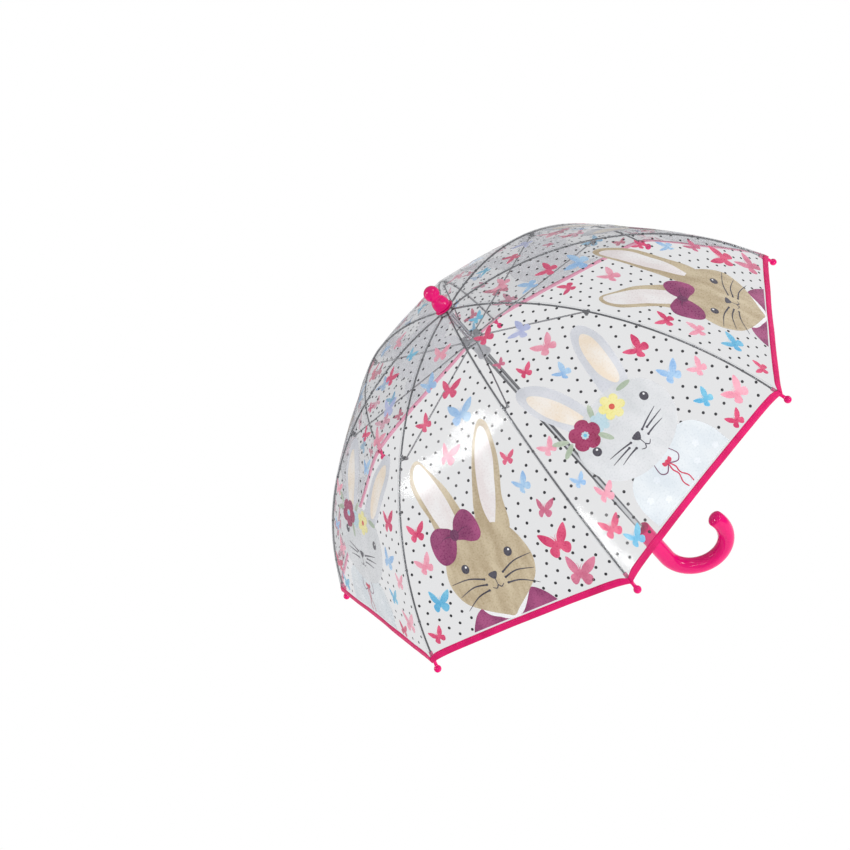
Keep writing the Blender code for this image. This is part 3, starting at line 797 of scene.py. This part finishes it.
def tan_portrait():
    """A fawn rabbit with a plum bow and coat."""
    ears = [
        [(-4.9, 33.0), (-5.6, 28.6), (-6.3, 26.2), (-6.8, 23.6), (-6.2, 21.6), (-5.0, 21.2), (-3.6, 23.4),
         (-2.2, 26.0), (-1.2, 29.4), (-0.9, 32.6)],
        [(-0.2, 32.6), (0.2, 29.6), (0.9, 27.2), (1.8, 24.6), (2.9, 21.6), (4.1, 19.8), (5.1, 20.8),
         (5.3, 24.0), (4.9, 26.6), (4.2, 29.0), (3.4, 33.0)],
    ]
    linings = [
        [(-4.0, 31.8), (-4.9, 29.2), (-5.5, 27.0), (-6.2, 24.0), (-6.0, 22.2), (-5.0, 21.6), (-3.9, 23.6),
         (-2.9, 26.2), (-2.4, 28.6), (-2.3, 31.2)],
        [(1.8, 32.0), (1.4, 30.4), (1.5, 28.0), (2.1, 25.2), (3.1, 22.0), (4.0, 20.6), (4.7, 21.6),
         (4.7, 24.4), (4.0, 27.0), (3.4, 29.0), (2.6, 30.8)],
    ]
    head = [
        (-0.8, 31.3), (1.9, 31.5), (3.7, 33.0), (4.7, 36.0), (4.1, 38.4), (2.3, 40.0), (0.3, 41.3),
        (-0.6, 41.9), (-1.5, 41.5), (-3.7, 40.2), (-5.6, 38.6), (-6.4, 36.0), (-5.5, 33.2), (-3.5, 31.6),
    ]
    coats = [
        [(-6.4, COAT_END), (-6.0, 41.4), (-5.0, 40.3), (-3.9, 39.9), (-3.4, 40.9), (-2.2, 41.6),
         (-1.2, COAT_END)],
        [(-0.1, COAT_END), (0.9, 41.4), (2.0, 40.1), (2.8, 39.7), (4.0, 40.6), (4.8, 41.7), (5.0, COAT_END)],
    ]
    collar = [
        (-4.2, 39.4), (-3.6, 40.7), (-2.4, 41.5), (-1.4, COAT_END), (0.1, COAT_END), (1.2, 41.3), (2.8, 39.4),
    ]
    bow = [
        [(-3.3, 31.7), (-3.4, 30.5), (-4.3, 29.9), (-5.4, 29.6), (-6.4, 30.2), (-6.7, 31.6), (-6.5, 33.1),
         (-5.8, 33.9), (-4.7, 33.8), (-3.9, 33.1)],
        [(-3.2, 31.6), (-3.2, 30.4), (-2.6, 29.3), (-1.4, 28.7), (-0.5, 29.2), (0.0, 30.4), (0.0, 31.9),
         (-0.6, 32.6), (-1.5, 32.5), (-2.4, 32.0)],
    ]
    folds = [(-3.8, 31.1), (-4.6, 31.0), (-5.4, 31.3)], [(-2.8, 31.0), (-2.0, 30.7), (-1.3, 30.8)]
    shapes = [(smooth_loop(ear, 6), "fawn", 1) for ear in ears]
    shapes += [(smooth_loop(lining, 6), "ear_pink", 2) for lining in linings]
    shapes += [(open_curve(coat, 4), "plum", 1) for coat in coats]
    shapes.append((open_curve(collar, 4), "paper", 2))
    shapes.append((smooth_loop(head), "fawn", 3))
    shapes += [(smooth_loop(lobe), "plum", 5) for lobe in bow]
    shapes.append((oval((-3.3, 31.1), 0.55, 0.68), "plum_dark", 6))
    shapes += [(stroke(fold, 0.12), "plum_dark", 6) for fold in folds]
    return shapes + face(-0.8, 35.1, 2.95, 36.9, FAWN_WHISKERS)


def white_portrait():
    """A white rabbit with flowers, a pale blue dress and a red ribbon."""
    ears = [
        [(-2.3, 29.0), (-2.2, 25.2), (-3.1, 21.8), (-4.7, 19.9), (-6.0, 20.7), (-6.3, 23.8), (-5.6, 27.0),
         (-4.8, 29.6)],
        [(0.3, 29.2), (1.1, 25.6), (2.5, 22.2), (4.1, 20.1), (5.5, 20.5), (5.8, 23.0), (4.9, 26.2),
         (3.2, 29.4)],
    ]
    linings = [
        [(-3.1, 28.4), (-3.3, 25.2), (-4.1, 22.6), (-5.0, 21.4), (-5.6, 22.2), (-5.6, 24.6), (-4.9, 27.0),
         (-4.0, 28.6)],
        [(2.3, 28.4), (1.9, 26.4), (2.5, 24.0), (3.5, 22.0), (4.6, 21.3), (5.0, 22.6), (4.4, 25.2),
         (3.3, 28.0)],
    ]
    head = [
        (-1.1, 28.0), (2.2, 28.5), (4.5, 30.4), (5.1, 33.0), (4.1, 35.5), (1.8, 37.1),
        (-1.1, 37.6), (-4.0, 37.1), (-6.3, 35.5), (-7.3, 33.0), (-6.7, 30.4), (-4.4, 28.5),
    ]
    dress = [
        (-7.0, COAT_END), (-7.0, 39.8), (-6.3, 37.8), (-4.8, 36.7), (-3.0, 37.2), (-1.1, 37.6),
        (0.8, 37.2), (2.6, 36.6), (4.3, 37.5), (5.2, 39.6), (5.3, COAT_END),
    ]
    leaves = (-7.0, 28.1, 0.7), (-7.1, 29.4, -0.3), (2.5, 29.2, 0.2), (-3.2, 31.4, 1.2), (-2.2, 28.4, -1.0)
    buds = (-5.6, 39.6), (-4.1, 41.0), (2.6, 39.4), (3.9, 41.2), (-3.4, 38.7), (1.2, 40.8)
    dark_flower, yellow_flower, knot = (-4.6, 29.6), (-0.2, 29.8), -1.1
    shapes = [(smooth_loop(ear, 6), "snow_edge", 1) for ear in ears]
    shapes += [(smooth_loop(lining, 6), "peach", 2) for lining in linings]
    shapes += [(open_curve(dress, 5), "ice", 1), (smooth_loop(head, 6), "snow", 3)]
    shapes += [(oval((x, y), 0.95, 0.32, turn), "leaf", 4) for x, y, turn in leaves]
    shapes += [
        (rosette((-2.4, 29.9), 1.15, 6, 0.3, 0.3), "turquoise_pale", 5),
        (rosette(dark_flower, 1.85, 5, 0.24, 0.2), "berry", 6),
        (rosette(dark_flower, 0.46, 8, 0.25), "turquoise_pale", 7),
        (oval(dark_flower, 0.2, 0.2, steps=16), "turquoise", 8),
        (rosette(yellow_flower, 1.55, 6, 0.35, 0.5), "lemon", 6),
        (oval(yellow_flower, 0.34, 0.34, steps=16), "poppy", 7),
    ]
    loop = [(0, 38.5), (0.9, 39.1), (1.5, 38.6), (1.25, 37.5)]
    tail = [(0, 38.4), (0.25, 39.3), (0.12, 40.1), (0.5, 41.0), (0.4, 41.8)]
    petal = [(0, 38.4), (0.5, 38.0), (0.62, 38.4), (0.3, 38.6)]
    for side in (-1, 1):
        loop_side, tail_side, petal_side = (
            [(knot + side * x, y) for x, y in points] for points in (loop, tail, petal)
        )
        shapes.append((stroke(loop_side, 0.13, 0.7), "plum_dark", 4))
        shapes.append((stroke(tail_side, 0.16, 0.8), "crimson", 4))
        shapes.append((smooth_loop(petal_side, 4), "crimson", 5))
    shapes.append((oval((knot, 38.35), 0.26, 0.28, steps=16), "crimson", 6))
    shapes += [(rosette(bud, 0.42, 5, 0.35), "frost", 2) for bud in buds]
    return shapes + face(-1.1, 31.8, 4.1, 34.1, SNOW_WHISKERS)


def in_metres(shapes):
    """A portrait drawn in centimetres, as metres."""
    made = []
    for outline, ink_name, layer in shapes:
        made.append(([(x * CM, (y - PORTRAIT_RAISE) * CM) for x, y in outline], ink_name, layer))
    return made


DOT_ACROSS = 0.0165
DOT_ROWS = 0.0120
DOT_RADIUS = 0.00182
DOT_START = 0.029
DOT_WANDER = 0.0012, 0.0007             # how far a dot strays across and along
SEAM_ROOM = 0.004                       # film without dots beside a seam and the binding
HEM_ROOM = 0.003
DOT_MARGIN = 0.0024                     # bare film round a printed shape
SMALL_SHAPE = 0.012                     # a shape narrower than this keeps dots off its whole box


def dots(shapes):
    """Staggered rows of dots, left out where another shape is printed."""
    boxes = []
    for outline, _, _ in shapes:
        xs, ys = zip(*outline)
        boxes.append((min(xs), max(xs), min(ys), max(ys), outline))

    def bare(across, along):
        for left, right, low, high, outline in boxes:
            beside = left - DOT_MARGIN < across < right + DOT_MARGIN
            if beside and low - DOT_MARGIN < along < high + DOT_MARGIN:
                if right - left < SMALL_SHAPE or inside((across, along), outline):
                    return False
        return True

    made = []
    for row in range(int((HEM_LINE - DOT_START) / DOT_ROWS) + 1):
        middle = DOT_START + row * DOT_ROWS
        room = half_width(middle) - SEAM_ROOM
        first = DOT_ACROSS / 2 if row % 2 else 0.0
        count = int(room / DOT_ACROSS) + 1
        for i in range(-count, count + 1):
            across = first + i * DOT_ACROSS + DOT_WANDER[0] * math.sin(7.1 * i + 2.3 * row)
            along = middle + DOT_WANDER[1] * math.sin(5.3 * i + 4.1 * row)
            if abs(across) <= room and along <= HEM_LINE - HEM_ROOM and bare(across, along):
                made.append((oval((across, along), DOT_RADIUS, DOT_RADIUS, steps=12), "black", 0))
    return made


def drawn(shapes, underbase=False):
    """The shapes as one flat mesh: (points, lift of each, faces, ink of each, the inks' names).

    An underbase is the white ink that the colours are printed on, which shows from inside the umbrella.
    """
    points, lifts, faces, indices, names = [], [], [], [], []
    if underbase:
        shapes = [(outline, "underbase", -1) for outline, _, _ in shapes] + shapes
    for outline, ink_name, layer in shapes:
        if ink_name not in names:
            names.append(ink_name)
        flat, triangles = filled(outline)
        start = len(points)
        points += flat
        lifts += [PRINT_LIFT + layer * LAYER_LIFT] * len(flat)
        faces += [tuple(start + i for i in reversed(t)) for t in triangles]
        indices += [names.index(ink_name)] * len(triangles)
    return np.array(points), np.array(lifts), faces, indices, names


def printed(name, number, drawing):
    """A drawing laid on panel number as one piece."""
    flat, lifts, faces, indices, names = drawing
    placed = on_gore(number, flat[:, 0], flat[:, 1], lifts)
    return piece(
        f"{name}_{number}", placed, faces, [ink(n) for n in names], f"panel_{number}",
        indices, flat,
    )


# ---- panels -----------------------------------------------------------------------------------------
def hem_shift(share, along):
    """The hem is drawn up a little between the tips, and out along them."""
    drawn_up = HEM_SCALLOP * (1 - share**2) - HEM_REACH * share**12
    return drawn_up * (along / ARC_LENGTH) ** 10


def gore_grid(number, across, along, lift=0.0):
    """(points on the gore, flat places) of a grid."""
    lift = np.broadcast_to(lift, across.shape).ravel()
    flat = np.stack([across.ravel(), along.ravel()], axis=-1)
    return on_gore(number, flat[:, 0], flat[:, 1], lift), flat


def film(number, material):
    """One sheet of film, from under the washer to inside the binding."""
    rows, columns = 106, 41
    share, along = np.meshgrid(np.linspace(-1.0, 1.0, columns), np.linspace(0.0, ARC_LENGTH - FILM_CUT, rows))
    along = along - hem_shift(np.abs(share), along)
    points, flat = gore_grid(number, share * half_width(along), along)
    made = piece(
        f"film_{number}", points, sheet_faces(rows, columns), [material], f"panel_{number}",
        flat=flat,
    )
    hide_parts(f"canopy_panel_{number}")
    return made


def welds(number, material):
    """The two bands along the ribs where one panel's film is welded to the next."""
    width, rows, columns, from_seam = 0.0020, 100, 4, 0.0004
    along = np.linspace(0.016, HEM_LINE - 0.001, rows)
    parts, flats = [], []
    for side in (-1, 1):
        inset, along_grid = np.meshgrid(np.linspace(0.0, width, columns)[::-side], along)
        across = side * (half_width(along_grid) - from_seam - inset)
        lift = 0.00006 + 0.00005 * (inset < 0.0002)
        points, flat = gore_grid(number, across, along_grid, lift)
        parts.append((points, sheet_faces(rows, columns)))
        flats.append(flat)
    points, faces = joined(parts)
    return piece(
        f"weld_bands_{number}", points, faces, [material], f"panel_{number}",
        flat=np.concatenate(flats),
    )


def binding(number, materials):
    """Tape folded over the film's edge, its paler back inside: a flat loop, puckered by its stitches."""
    columns, spans, thick = 140, 6, 0.00055
    start, fold_at = 0.04, 0.94         # shares of the tape's width
    outer, fold = [], []
    for i in range(spans + 1):
        crown = 0.75 + 0.25 * math.sin(math.pi * i / spans)
        outer.append((HEM_WIDTH * (start + (fold_at - start) * i / spans), thick * crown))
    for i in range(1, spans):
        turn = math.pi * i / spans
        fold.append((HEM_WIDTH * fold_at + 0.0005 * math.sin(turn), thick * 0.8 * math.cos(turn)))
    inner = [(down, -lift) for down, lift in reversed(outer)]
    section = [*outer, *fold, *inner, (0.0, 0.0)]
    share = np.linspace(-1.0, 1.0, columns)
    narrowing = 1 - 0.25 * np.clip((np.abs(share) - 0.93) / 0.07, 0, 1) ** 1.5
    pucker = 1 + 0.10 * np.sin(share * 95 + 0.6 * number) + 0.07 * np.sin(share * 41 + number)
    points, flat = [], []
    for down, lift in section:
        along = HEM_LINE + HEM_WIDTH * (1 - narrowing) + down * narrowing
        along = along - hem_shift(np.abs(share), along)
        row, flat_row = gore_grid(number, share * half_width(along) * 0.9995, along, lift * pucker)
        points.append(row)
        flat.append(flat_row)
    rows = len(section)
    first_inner = len(outer) + len(fold)
    faces, indices = [], []
    for i in range(rows):
        k = (i + 1) % rows
        for j in range(columns - 1):
            faces.append((i * columns + j, k * columns + j, k * columns + j + 1, i * columns + j + 1))
            indices.append(int(first_inner <= i < first_inner + len(inner)))
    faces.append(tuple(i * columns for i in range(rows))[::-1])
    faces.append(tuple(i * columns + columns - 1 for i in range(rows)))
    made = piece(
        f"binding_{number}", np.concatenate(points), faces, materials, f"panel_{number}",
        indices + [0, 0], np.concatenate(flat),
    )
    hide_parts(f"hem_binding_{number}")
    return outward(made)


def stitches(number, material):
    """A row of lock stitches on both sides of the tape."""
    length, pitch, thick, sides = 0.0021, 0.0030, 0.00022, 6
    # how far along half a stitch, and the share of its thickness there
    stations = ((-1.0, 0.25), (-0.8, 0.8), (-0.3, 1.0), (0.3, 1.0), (0.8, 0.8), (1.0, 0.25))
    seam = HEM_LINE + 0.0020
    reach = half_width(ARC_LENGTH) - 0.006
    parts = []
    for face_side in (-1, 1):
        for i in range(int(2 * reach / pitch)):
            spots = []
            for step, size in stations:
                across = -reach + (i + 0.5) * pitch + step * length / 2
                along = seam - hem_shift(abs(across) / half_width(seam), seam)
                for j in range(sides):
                    turn = 2 * math.pi * j / sides
                    rise = 0.00058 + 0.00012 * (1 - step**2) + thick * size * math.sin(turn)
                    spots.append((across, along + thick * size * math.cos(turn), face_side * rise))
            points = on_gore(number, *np.array(spots).T)
            parts.append((points, grid_faces(len(stations), sides, closed=True)))
    return solid(
        f"hem_stitches_{number}", joined(parts), IN_PLACE, material, f"panel_{number}"
    )


def canopy():
    """Eight panels, each with its film, weld bands, printed dots, butterflies and portrait, binding and
    stitches.
    """
    clear = clear_film()
    weld = clear_film("film_weld", body=0.05, through=0.90)
    tapes = [tape_cloth("tape_cloth", *TAPE), tape_cloth("tape_back", *TAPE_BACK)]
    pink_thread = thread("pink_thread", (0.86, 0.05, 0.22))
    artwork = []
    for layout, portrait in ((WHITE_BUTTERFLIES, white_portrait()), (TAN_BUTTERFLIES, tan_portrait())):
        flying = [shape for row in layout for shape in butterfly(*row)]
        portrait = in_metres(portrait)
        artwork.append((drawn(dots(flying + portrait)), drawn(flying), drawn(portrait, underbase=True)))
    for number in range(1, SIDES + 1):
        spots, flying, portrait = artwork[1 - number % 2]
        sheet = film(number, clear)
        goes_with = [
            welds(number, weld),
            printed("dots", number, spots),
            printed("butterflies", number, flying),
            printed("portrait", number, portrait),
            binding(number, tapes),
            stitches(number, pink_thread),
        ]
        for made in [sheet, *goes_with]:
            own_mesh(made)


# ---- ribs and stretchers --------------------------------------------------------------------------------
TIES = (0.16, 0.31, 0.60, 0.75, 0.89)   # shares of the rib's arc where thread ties it to the film


def ribs():
    wire = metal("rib_wire", (0.29, 0.295, 0.305), 0.20)
    clip = metal("joint_clip", (0.36, 0.365, 0.375), 0.30)
    pink, sleeve_pink, tie_thread = glossy_pink(), clear_pink(), thread("tie_thread", (0.16, 0.16, 0.17))
    tape = bpy.data.materials["tape_cloth"]
    past_hem = Vector((math.cos(LAST_SLOPE), 0.0, -math.sin(LAST_SLOPE)))
    path = [rib_point(0.004 + 0.996 * i / 60) for i in range(61)]
    path += [path[-1] + past_hem * 0.004, path[-1] + past_hem * 0.0078]
    rib_shape = joined([swept(path, RIB_WIRE, 16), eyelet(0.0021, 0.0008, 0.0011)])
    ties = joined([tie(share) for share in TIES])
    for number in range(1, SIDES + 1):
        place = spoke(number, NOTCH_RING, CROWN)
        body = f"rib_{number}"
        solid(f"rib_wire_{number}", rib_shape, place, wire, body, f"rib_{number}")
        tip(number, place, body, pink, sleeve_pink, tape)
        saddle(number, place, body, clip)
        solid(f"thread_ties_{number}", ties, place, tie_thread, body)


def tie(share):
    """Three turns of thread round a rib."""
    coil, width, turns, steps = 0.00138, 0.0022, 3, 16
    helix = []
    for i in range(turns * steps + 1):
        angle = 2 * math.pi * i / steps
        run = width * (i / (turns * steps) - 0.5)
        helix.append((run, coil * math.cos(angle), coil * math.sin(angle) + 0.0001))
    points, faces = swept(helix, 0.00024, 6)
    turn = Matrix.Rotation(FIRST_SLOPE + share * RIB_SWEEP, 4, "Y")
    return moved(points, Matrix.Translation(rib_point(share)) @ turn), faces


def saddle(number, place, body, material):
    """The clip under a rib: a plate that grips the wire and tapers to a round lobe at its rivet."""
    lobe, half, grip, top, edge = 0.0020, 0.0017, 0.0040, 0.0006, 0.0004
    outline = [(-grip, top), (-grip, -0.0010)]
    for turn in np.linspace(-1.9, 1.9, 15):
        outline.append((lobe * math.sin(turn), -JOINT_DEPTH - lobe * math.cos(turn)))
    outline += [(grip, -0.0010), (grip, top)]
    outline = rounded_ring(outline, 0.0005, 3, crease=True)
    centre = Vector((0.0, -JOINT_DEPTH / 2))
    points = []
    for side, size in ((-half, 0.88), (edge - half, 1.0), (half - edge, 1.0), (half, 0.88)):
        for corner in outline:
            spot = centre + (Vector(corner) - centre) * size
            points.append(Vector((spot.x, side, spot.y)))
    count = len(outline)
    faces = grid_faces(4, count, closed=True)
    faces += [tuple(range(count)), tuple(range(3 * count, 4 * count))]
    head = [(0.0, 0.0006), (0.0008, 0.0006), (0.0013, 0.0002), (0.0013, -0.0003), (0.0, -0.0003)]
    rivet, rivet_faces = turned_mesh(rounded(head, 0.0003), 20)
    at_rivet = Matrix.Translation((0.0, -half, -JOINT_DEPTH)) @ Matrix.Rotation(math.pi / 2, 4, "X")
    shape = joined([(points, faces), (moved(rivet, at_rivet), rivet_faces)])
    at_joint = Matrix.Translation(rib_point(JOINT_SHARE)) @ Matrix.Rotation(JOINT_SLOPE, 4, "Y")
    solid(
        f"joint_clip_{number}", shape, place @ at_joint, material, body,
        f"rib_joint_{number}", sharp=HARD_EDGE,
    )


def eyelet(outer, inner, half):
    """A small ring about Y."""
    profile = [(outer, 0.0), (outer, half), (inner, half), (inner, -half), (outer, -half)]
    points, faces = turned_mesh(rounded_ring(profile, 0.0003), 24)
    return moved(points, Matrix.Rotation(math.pi / 2, 4, "X")), faces


def tip(number, place, body, pink, sleeve_pink, tape):
    """The rib's end: a clear pink sleeve, a neck and a ball, and the loop of tape sewn round it."""
    at_hem = place @ Matrix.Translation(rib_point(1.0)) @ Matrix.Rotation(math.pi / 2 + LAST_SLOPE, 4, "Y")
    ball, centre = 0.0044, 0.0125
    top = [(ball * math.sin(t), centre + ball * math.cos(t)) for t in np.linspace(0, 2.62, 18)]
    neck = [
        (0.0020, centre - 0.0052), (0.0020, 0.0040), (0.0024, 0.0026), (0.0024, 0.0012), (0.0019, 0.0006),
    ]
    shape = turned_mesh(top + rounded(neck, 0.0006) + [(0.0, 0.0006)], 40)
    solid(f"tip_ball_{number}", shape, at_hem, pink, body, f"rib_tip_{number}")
    bore, wall = RIB_WIRE + 0.00012, 0.0023
    sleeve = [(bore, 0.0004), (wall, 0.0004), (wall, -0.0088), (0.0021, -TIP_SLEEVE), (bore, -TIP_SLEEVE)]
    shape = turned_mesh(rounded_ring(sleeve, 0.0004, crease=True), 32)
    solid(f"tip_sleeve_{number}", shape, at_hem, sleeve_pink, body)
    band = [
        (0.00265, 0.0018), (0.0031, 0.0010), (0.0032, -0.0010), (0.0030, -0.0034), (0.0026, -0.0040),
        (0.00245, -0.0010),
    ]
    points, faces = turned_mesh(rounded_ring(band, 0.0005, crease=True), 36)
    flat = [(0.01 * math.atan2(y, x), z) for x, y, z in points]
    solid(f"tip_loop_{number}", (points, faces), at_hem, tape, body, flat=flat)


def stretchers():
    """Wires from the runner to the clips, with an eye at each end and a rivet at the far one."""
    wire = metal("stretcher_wire", (0.54, 0.545, 0.555), 0.22)
    joint_radius, joint_height = along_rib(JOINT_SHARE, -JOINT_DEPTH)
    end = Vector((joint_radius - RUNNER_RING, STRETCHER_OFFSET, joint_height + CROWN - RUNNER_TOP))
    start = Vector((0.0, STRETCHER_OFFSET, 0.0))
    along = (end - start).normalized()
    path = [start + along * 0.0015, start + along * 0.006]
    path += [start.lerp(end, i / 10) for i in range(1, 10)]
    path += [end - along * 0.006, end - along * 0.0012]
    near, near_faces = eyelet(0.0021, 0.00125, 0.0012)
    far, far_faces = eyelet(0.0021, 0.0004, 0.0014)
    profile = [(0.0, 0.0020), (0.0013, 0.0020), (0.0011, 0.0), (0.0011, -0.0027), (0.0, -0.0027)]
    rivet, rivet_faces = turned_mesh(rounded(profile, 0.0004), 20)
    at_end = Matrix.Translation(end)
    shape = joined([
        swept(path, STRETCHER_WIRE, 16),
        (moved(near, Matrix.Translation(start)), near_faces),
        (moved(far, at_end), far_faces),
        (moved(rivet, at_end @ Matrix.Rotation(-math.pi / 2, 4, "X")), rivet_faces),
    ])
    for number in range(1, SIDES + 1):
        solid(
            f"stretcher_wire_{number}", shape, spoke(number, RUNNER_RING, RUNNER_TOP), wire,
            f"stretcher_{number}", f"stretcher_{number}",
        )


# ---- shaft, crown, runner and handle ---------------------------------------------------------------------
def crown_cap(pink):
    """The ferrule, a bell over the film's middle with a waist and a ball, and the washer under it."""
    ball, centre = 0.0100, 0.0300
    top = [(ball * math.sin(t), centre + ball * math.cos(t)) for t in np.linspace(0, 2.34, 26)]
    bell = [
        (0.0070, 0.0220), (0.0073, 0.0208), (0.0088, 0.0190), (0.0102, 0.0152), (0.0108, 0.0105),
        (0.0106, 0.0064),
    ]
    inner = [(0.0090, 0.0064), (0.0049, 0.0072), (0.0048, 0.0122), (0.0, 0.0123)]
    at_crown = Matrix.Translation((0.0, 0.0, CROWN))
    shape = turned_mesh(top + rounded(bell + inner, 0.0009, 5)[1:], 64)
    solid("crown_cap", shape, at_crown, pink, "shaft", "ferrule")
    disc = [(0.0048, 0.0061), (0.0112, 0.0061), (0.0125, 0.0056), (0.0125, 0.0049), (0.0048, 0.0049)]
    shape = turned_mesh(rounded_ring(disc, 0.0004), 64)
    solid("crown_washer", shape, at_crown, pink, "shaft", "canopy_washer")


def crook(pink):
    """The handle, with the fine ridge that its two-part mould leaves along its sides."""
    top, grip_end = CROWN + HANDLE_TOP, CROWN + HOOK_START
    below_edge = top - 0.0012
    spots = [(0.0, top), (0.0, top - 0.0004), (0.0, below_edge)]
    radii = [0.93, 0.975, 1.0]
    for i in range(1, 13):
        spots.append((0.0, below_edge + (grip_end - below_edge) * i / 12))
    for i in range(1, 65):
        turn = HOOK_SWEEP * i / 64
        spots.append((HOOK_RADIUS * (1 - math.cos(turn)), grip_end - HOOK_RADIUS * math.sin(turn)))
    path = [Vector((x, 0.0, z)) for x, z in spots]
    radii += [1.0] * (len(path) - len(radii))
    end = path[-1]
    along = (end - path[-2]).normalized()
    for i in range(1, 13):
        share = math.sin(math.pi / 2 * i / 12.4)
        path.append(end + along * HANDLE_RADIUS * share * 0.6)
        radii.append(math.sqrt(1 - share**2))

    def ridge(turn):
        """The parting line runs along the crook's plane."""
        return 0.00012 * math.exp(-((math.sin(turn) / 0.05) ** 2))

    shape = swept(path, HANDLE_RADIUS, 72, radii, ridge, normal=(1.0, 0.0, 0.0))
    place = Matrix.Rotation(HOOK_AZIMUTH, 4, "Z")
    solid("crook_handle", shape, place, pink, "shaft", "handle")


def hardware():
    """The CAD nodes that keep their shape get their finish, and the moulded hubs soft edges."""
    chrome = metal("bright_chrome", (0.74, 0.75, 0.77), 0.10, (1, 1, 0.06))
    grey = moulded_grey()
    for name in ("shaft_tube", "notch_wire", "runner_wire", "runner_stop", "top_catch", "bottom_catch"):
        data = frame["nodes"][name].data
        data.materials.clear()
        data.materials.append(chrome)
    refined("runner", "runner_hub", grey, "runner", 0.0004)
    refined("top_notch", "notch_hub", grey, "shaft", 0.0003)


# ---- floor, light and camera ---------------------------------------------------------------------------
def studio_light(tree, mirrored, even, kind, output):
    """White where the camera looks straight at it, dark flags for mirrors, and even light for the rest."""
    path = node(tree, "LightPath")
    glow = node(tree, kind, color=even)
    glow = mixed(tree, path.outputs["Is Glossy Ray"], glow, node(tree, kind, color=mirrored))
    white = node(tree, kind, color=(1.0, 1.0, 1.0, 1.0))
    glow = mixed(tree, path.outputs["Is Camera Ray"], glow, white)
    fed(tree, output, surface=glow.outputs[0])


def studio():
    """A wide floor under the umbrella and a plain world round it."""
    size, below = 400.0, 0.30
    bpy.ops.mesh.primitive_plane_add(size=size, location=(0.0, 0.0, CAD_BOX[0][2] - below))
    floor = bpy.context.active_object
    floor.name = "studio_floor"
    made, tree, _ = new_material("studio_floor")
    place = node(tree, "SeparateXYZ", vector=node(tree, "NewGeometry").outputs["Position"])
    side = calc(tree, "ABSOLUTE", place.outputs["X"])
    flags = ramp(
        tree, spread(tree, side, 0.0, 1.0, 0.0, 2.0),
        (0.0, (1.0, 1.0, 1.0)), (0.24, (1.0, 1.0, 1.0)), (0.32, (0.10, 0.10, 0.11)),
        (0.55, (0.12, 0.12, 0.13)), (0.8, (0.5, 0.5, 0.5)),
    )
    studio_light(tree, flags, (1.55, 1.55, 1.57, 1.0), "Emission", tree.nodes["Material Output"])
    floor.data.materials.append(made)

    world = bpy.data.worlds.new("studio")
    bpy.context.scene.world = world
    world.use_nodes = True
    tree = world.node_tree
    tree.nodes.remove(tree.nodes["Background"])
    place = node(tree, "SeparateXYZ", vector=coordinates(tree, "Generated"))
    height = ramp(
        tree, spread(tree, place.outputs["Z"], 0.0, 1.0, -1.0, 1.0),
        (0.0, (0.40, 0.40, 0.40)), (0.5, (0.42, 0.42, 0.43)), (0.62, (0.34, 0.34, 0.35)),
        (1.0, (0.60, 0.60, 0.61)),
    )
    studio_light(tree, height, (0.42, 0.42, 0.43, 1.0), "Background", tree.nodes["World Output"])


def softbox(name, place, target, size, power):
    lamp = bpy.data.lights.new(name, "AREA")
    lamp.shape = "RECTANGLE"
    lamp.size, lamp.size_y = size
    lamp.energy = power
    made = bpy.data.objects.new(name, lamp)
    made.location = place
    made.rotation_euler = (Vector(target) - Vector(place)).to_track_quat("-Z", "Y").to_euler()
    bpy.context.scene.collection.objects.link(made)


def lights():
    middle = (0.0, 0.0, CROWN - 0.1)
    softbox("front", (-0.15, -2.7, 1.9), middle, (1.1, 0.9), 6)
    softbox("right", (2.2, -0.6, 1.9), middle, (0.8, 0.8), 9)
    softbox("left", (-2.2, 0.5, 1.5), middle, (0.8, 0.8), 8)
    softbox("key", (-1.36, -0.16, 2.45), middle, (0.30, 0.9), 11)
    softbox("strip", (0.94, -2.20, 1.16), (0.0, -0.33, 0.29), (0.11, 1.5), 9)
    softbox("low", (1.85, -1.25, 0.05), middle, (0.4, 0.4), 7)


def camera():
    lens = bpy.data.cameras.new("camera")
    lens.lens = 55.151
    lens.sensor_width = 36.0
    lens.shift_x, lens.shift_y = -0.0592, -0.1407
    made = bpy.data.objects.new("camera", lens)
    right = Vector((0.7763, -0.1880, -0.6016)).normalized()
    ahead = Vector((-0.0990, 0.9063, -0.4109))
    ahead = (ahead - right * ahead.dot(right)).normalized()
    turn = Matrix((right, right.cross(ahead), -ahead)).transposed().to_4x4()
    made.matrix_world = Matrix.Translation((0.1900, -1.4563, 1.1115)) @ turn
    bpy.context.scene.collection.objects.link(made)
    bpy.context.scene.camera = made


camera()
canopy()
ribs()
stretchers()
crown_cap(bpy.data.materials["glossy_pink"])
crook(bpy.data.materials["glossy_pink"])
hardware()
studio()
lights()
bpy.context.scene.view_settings.view_transform = "Standard"
bpy.context.scene.cycles.transparent_max_bounces = 32
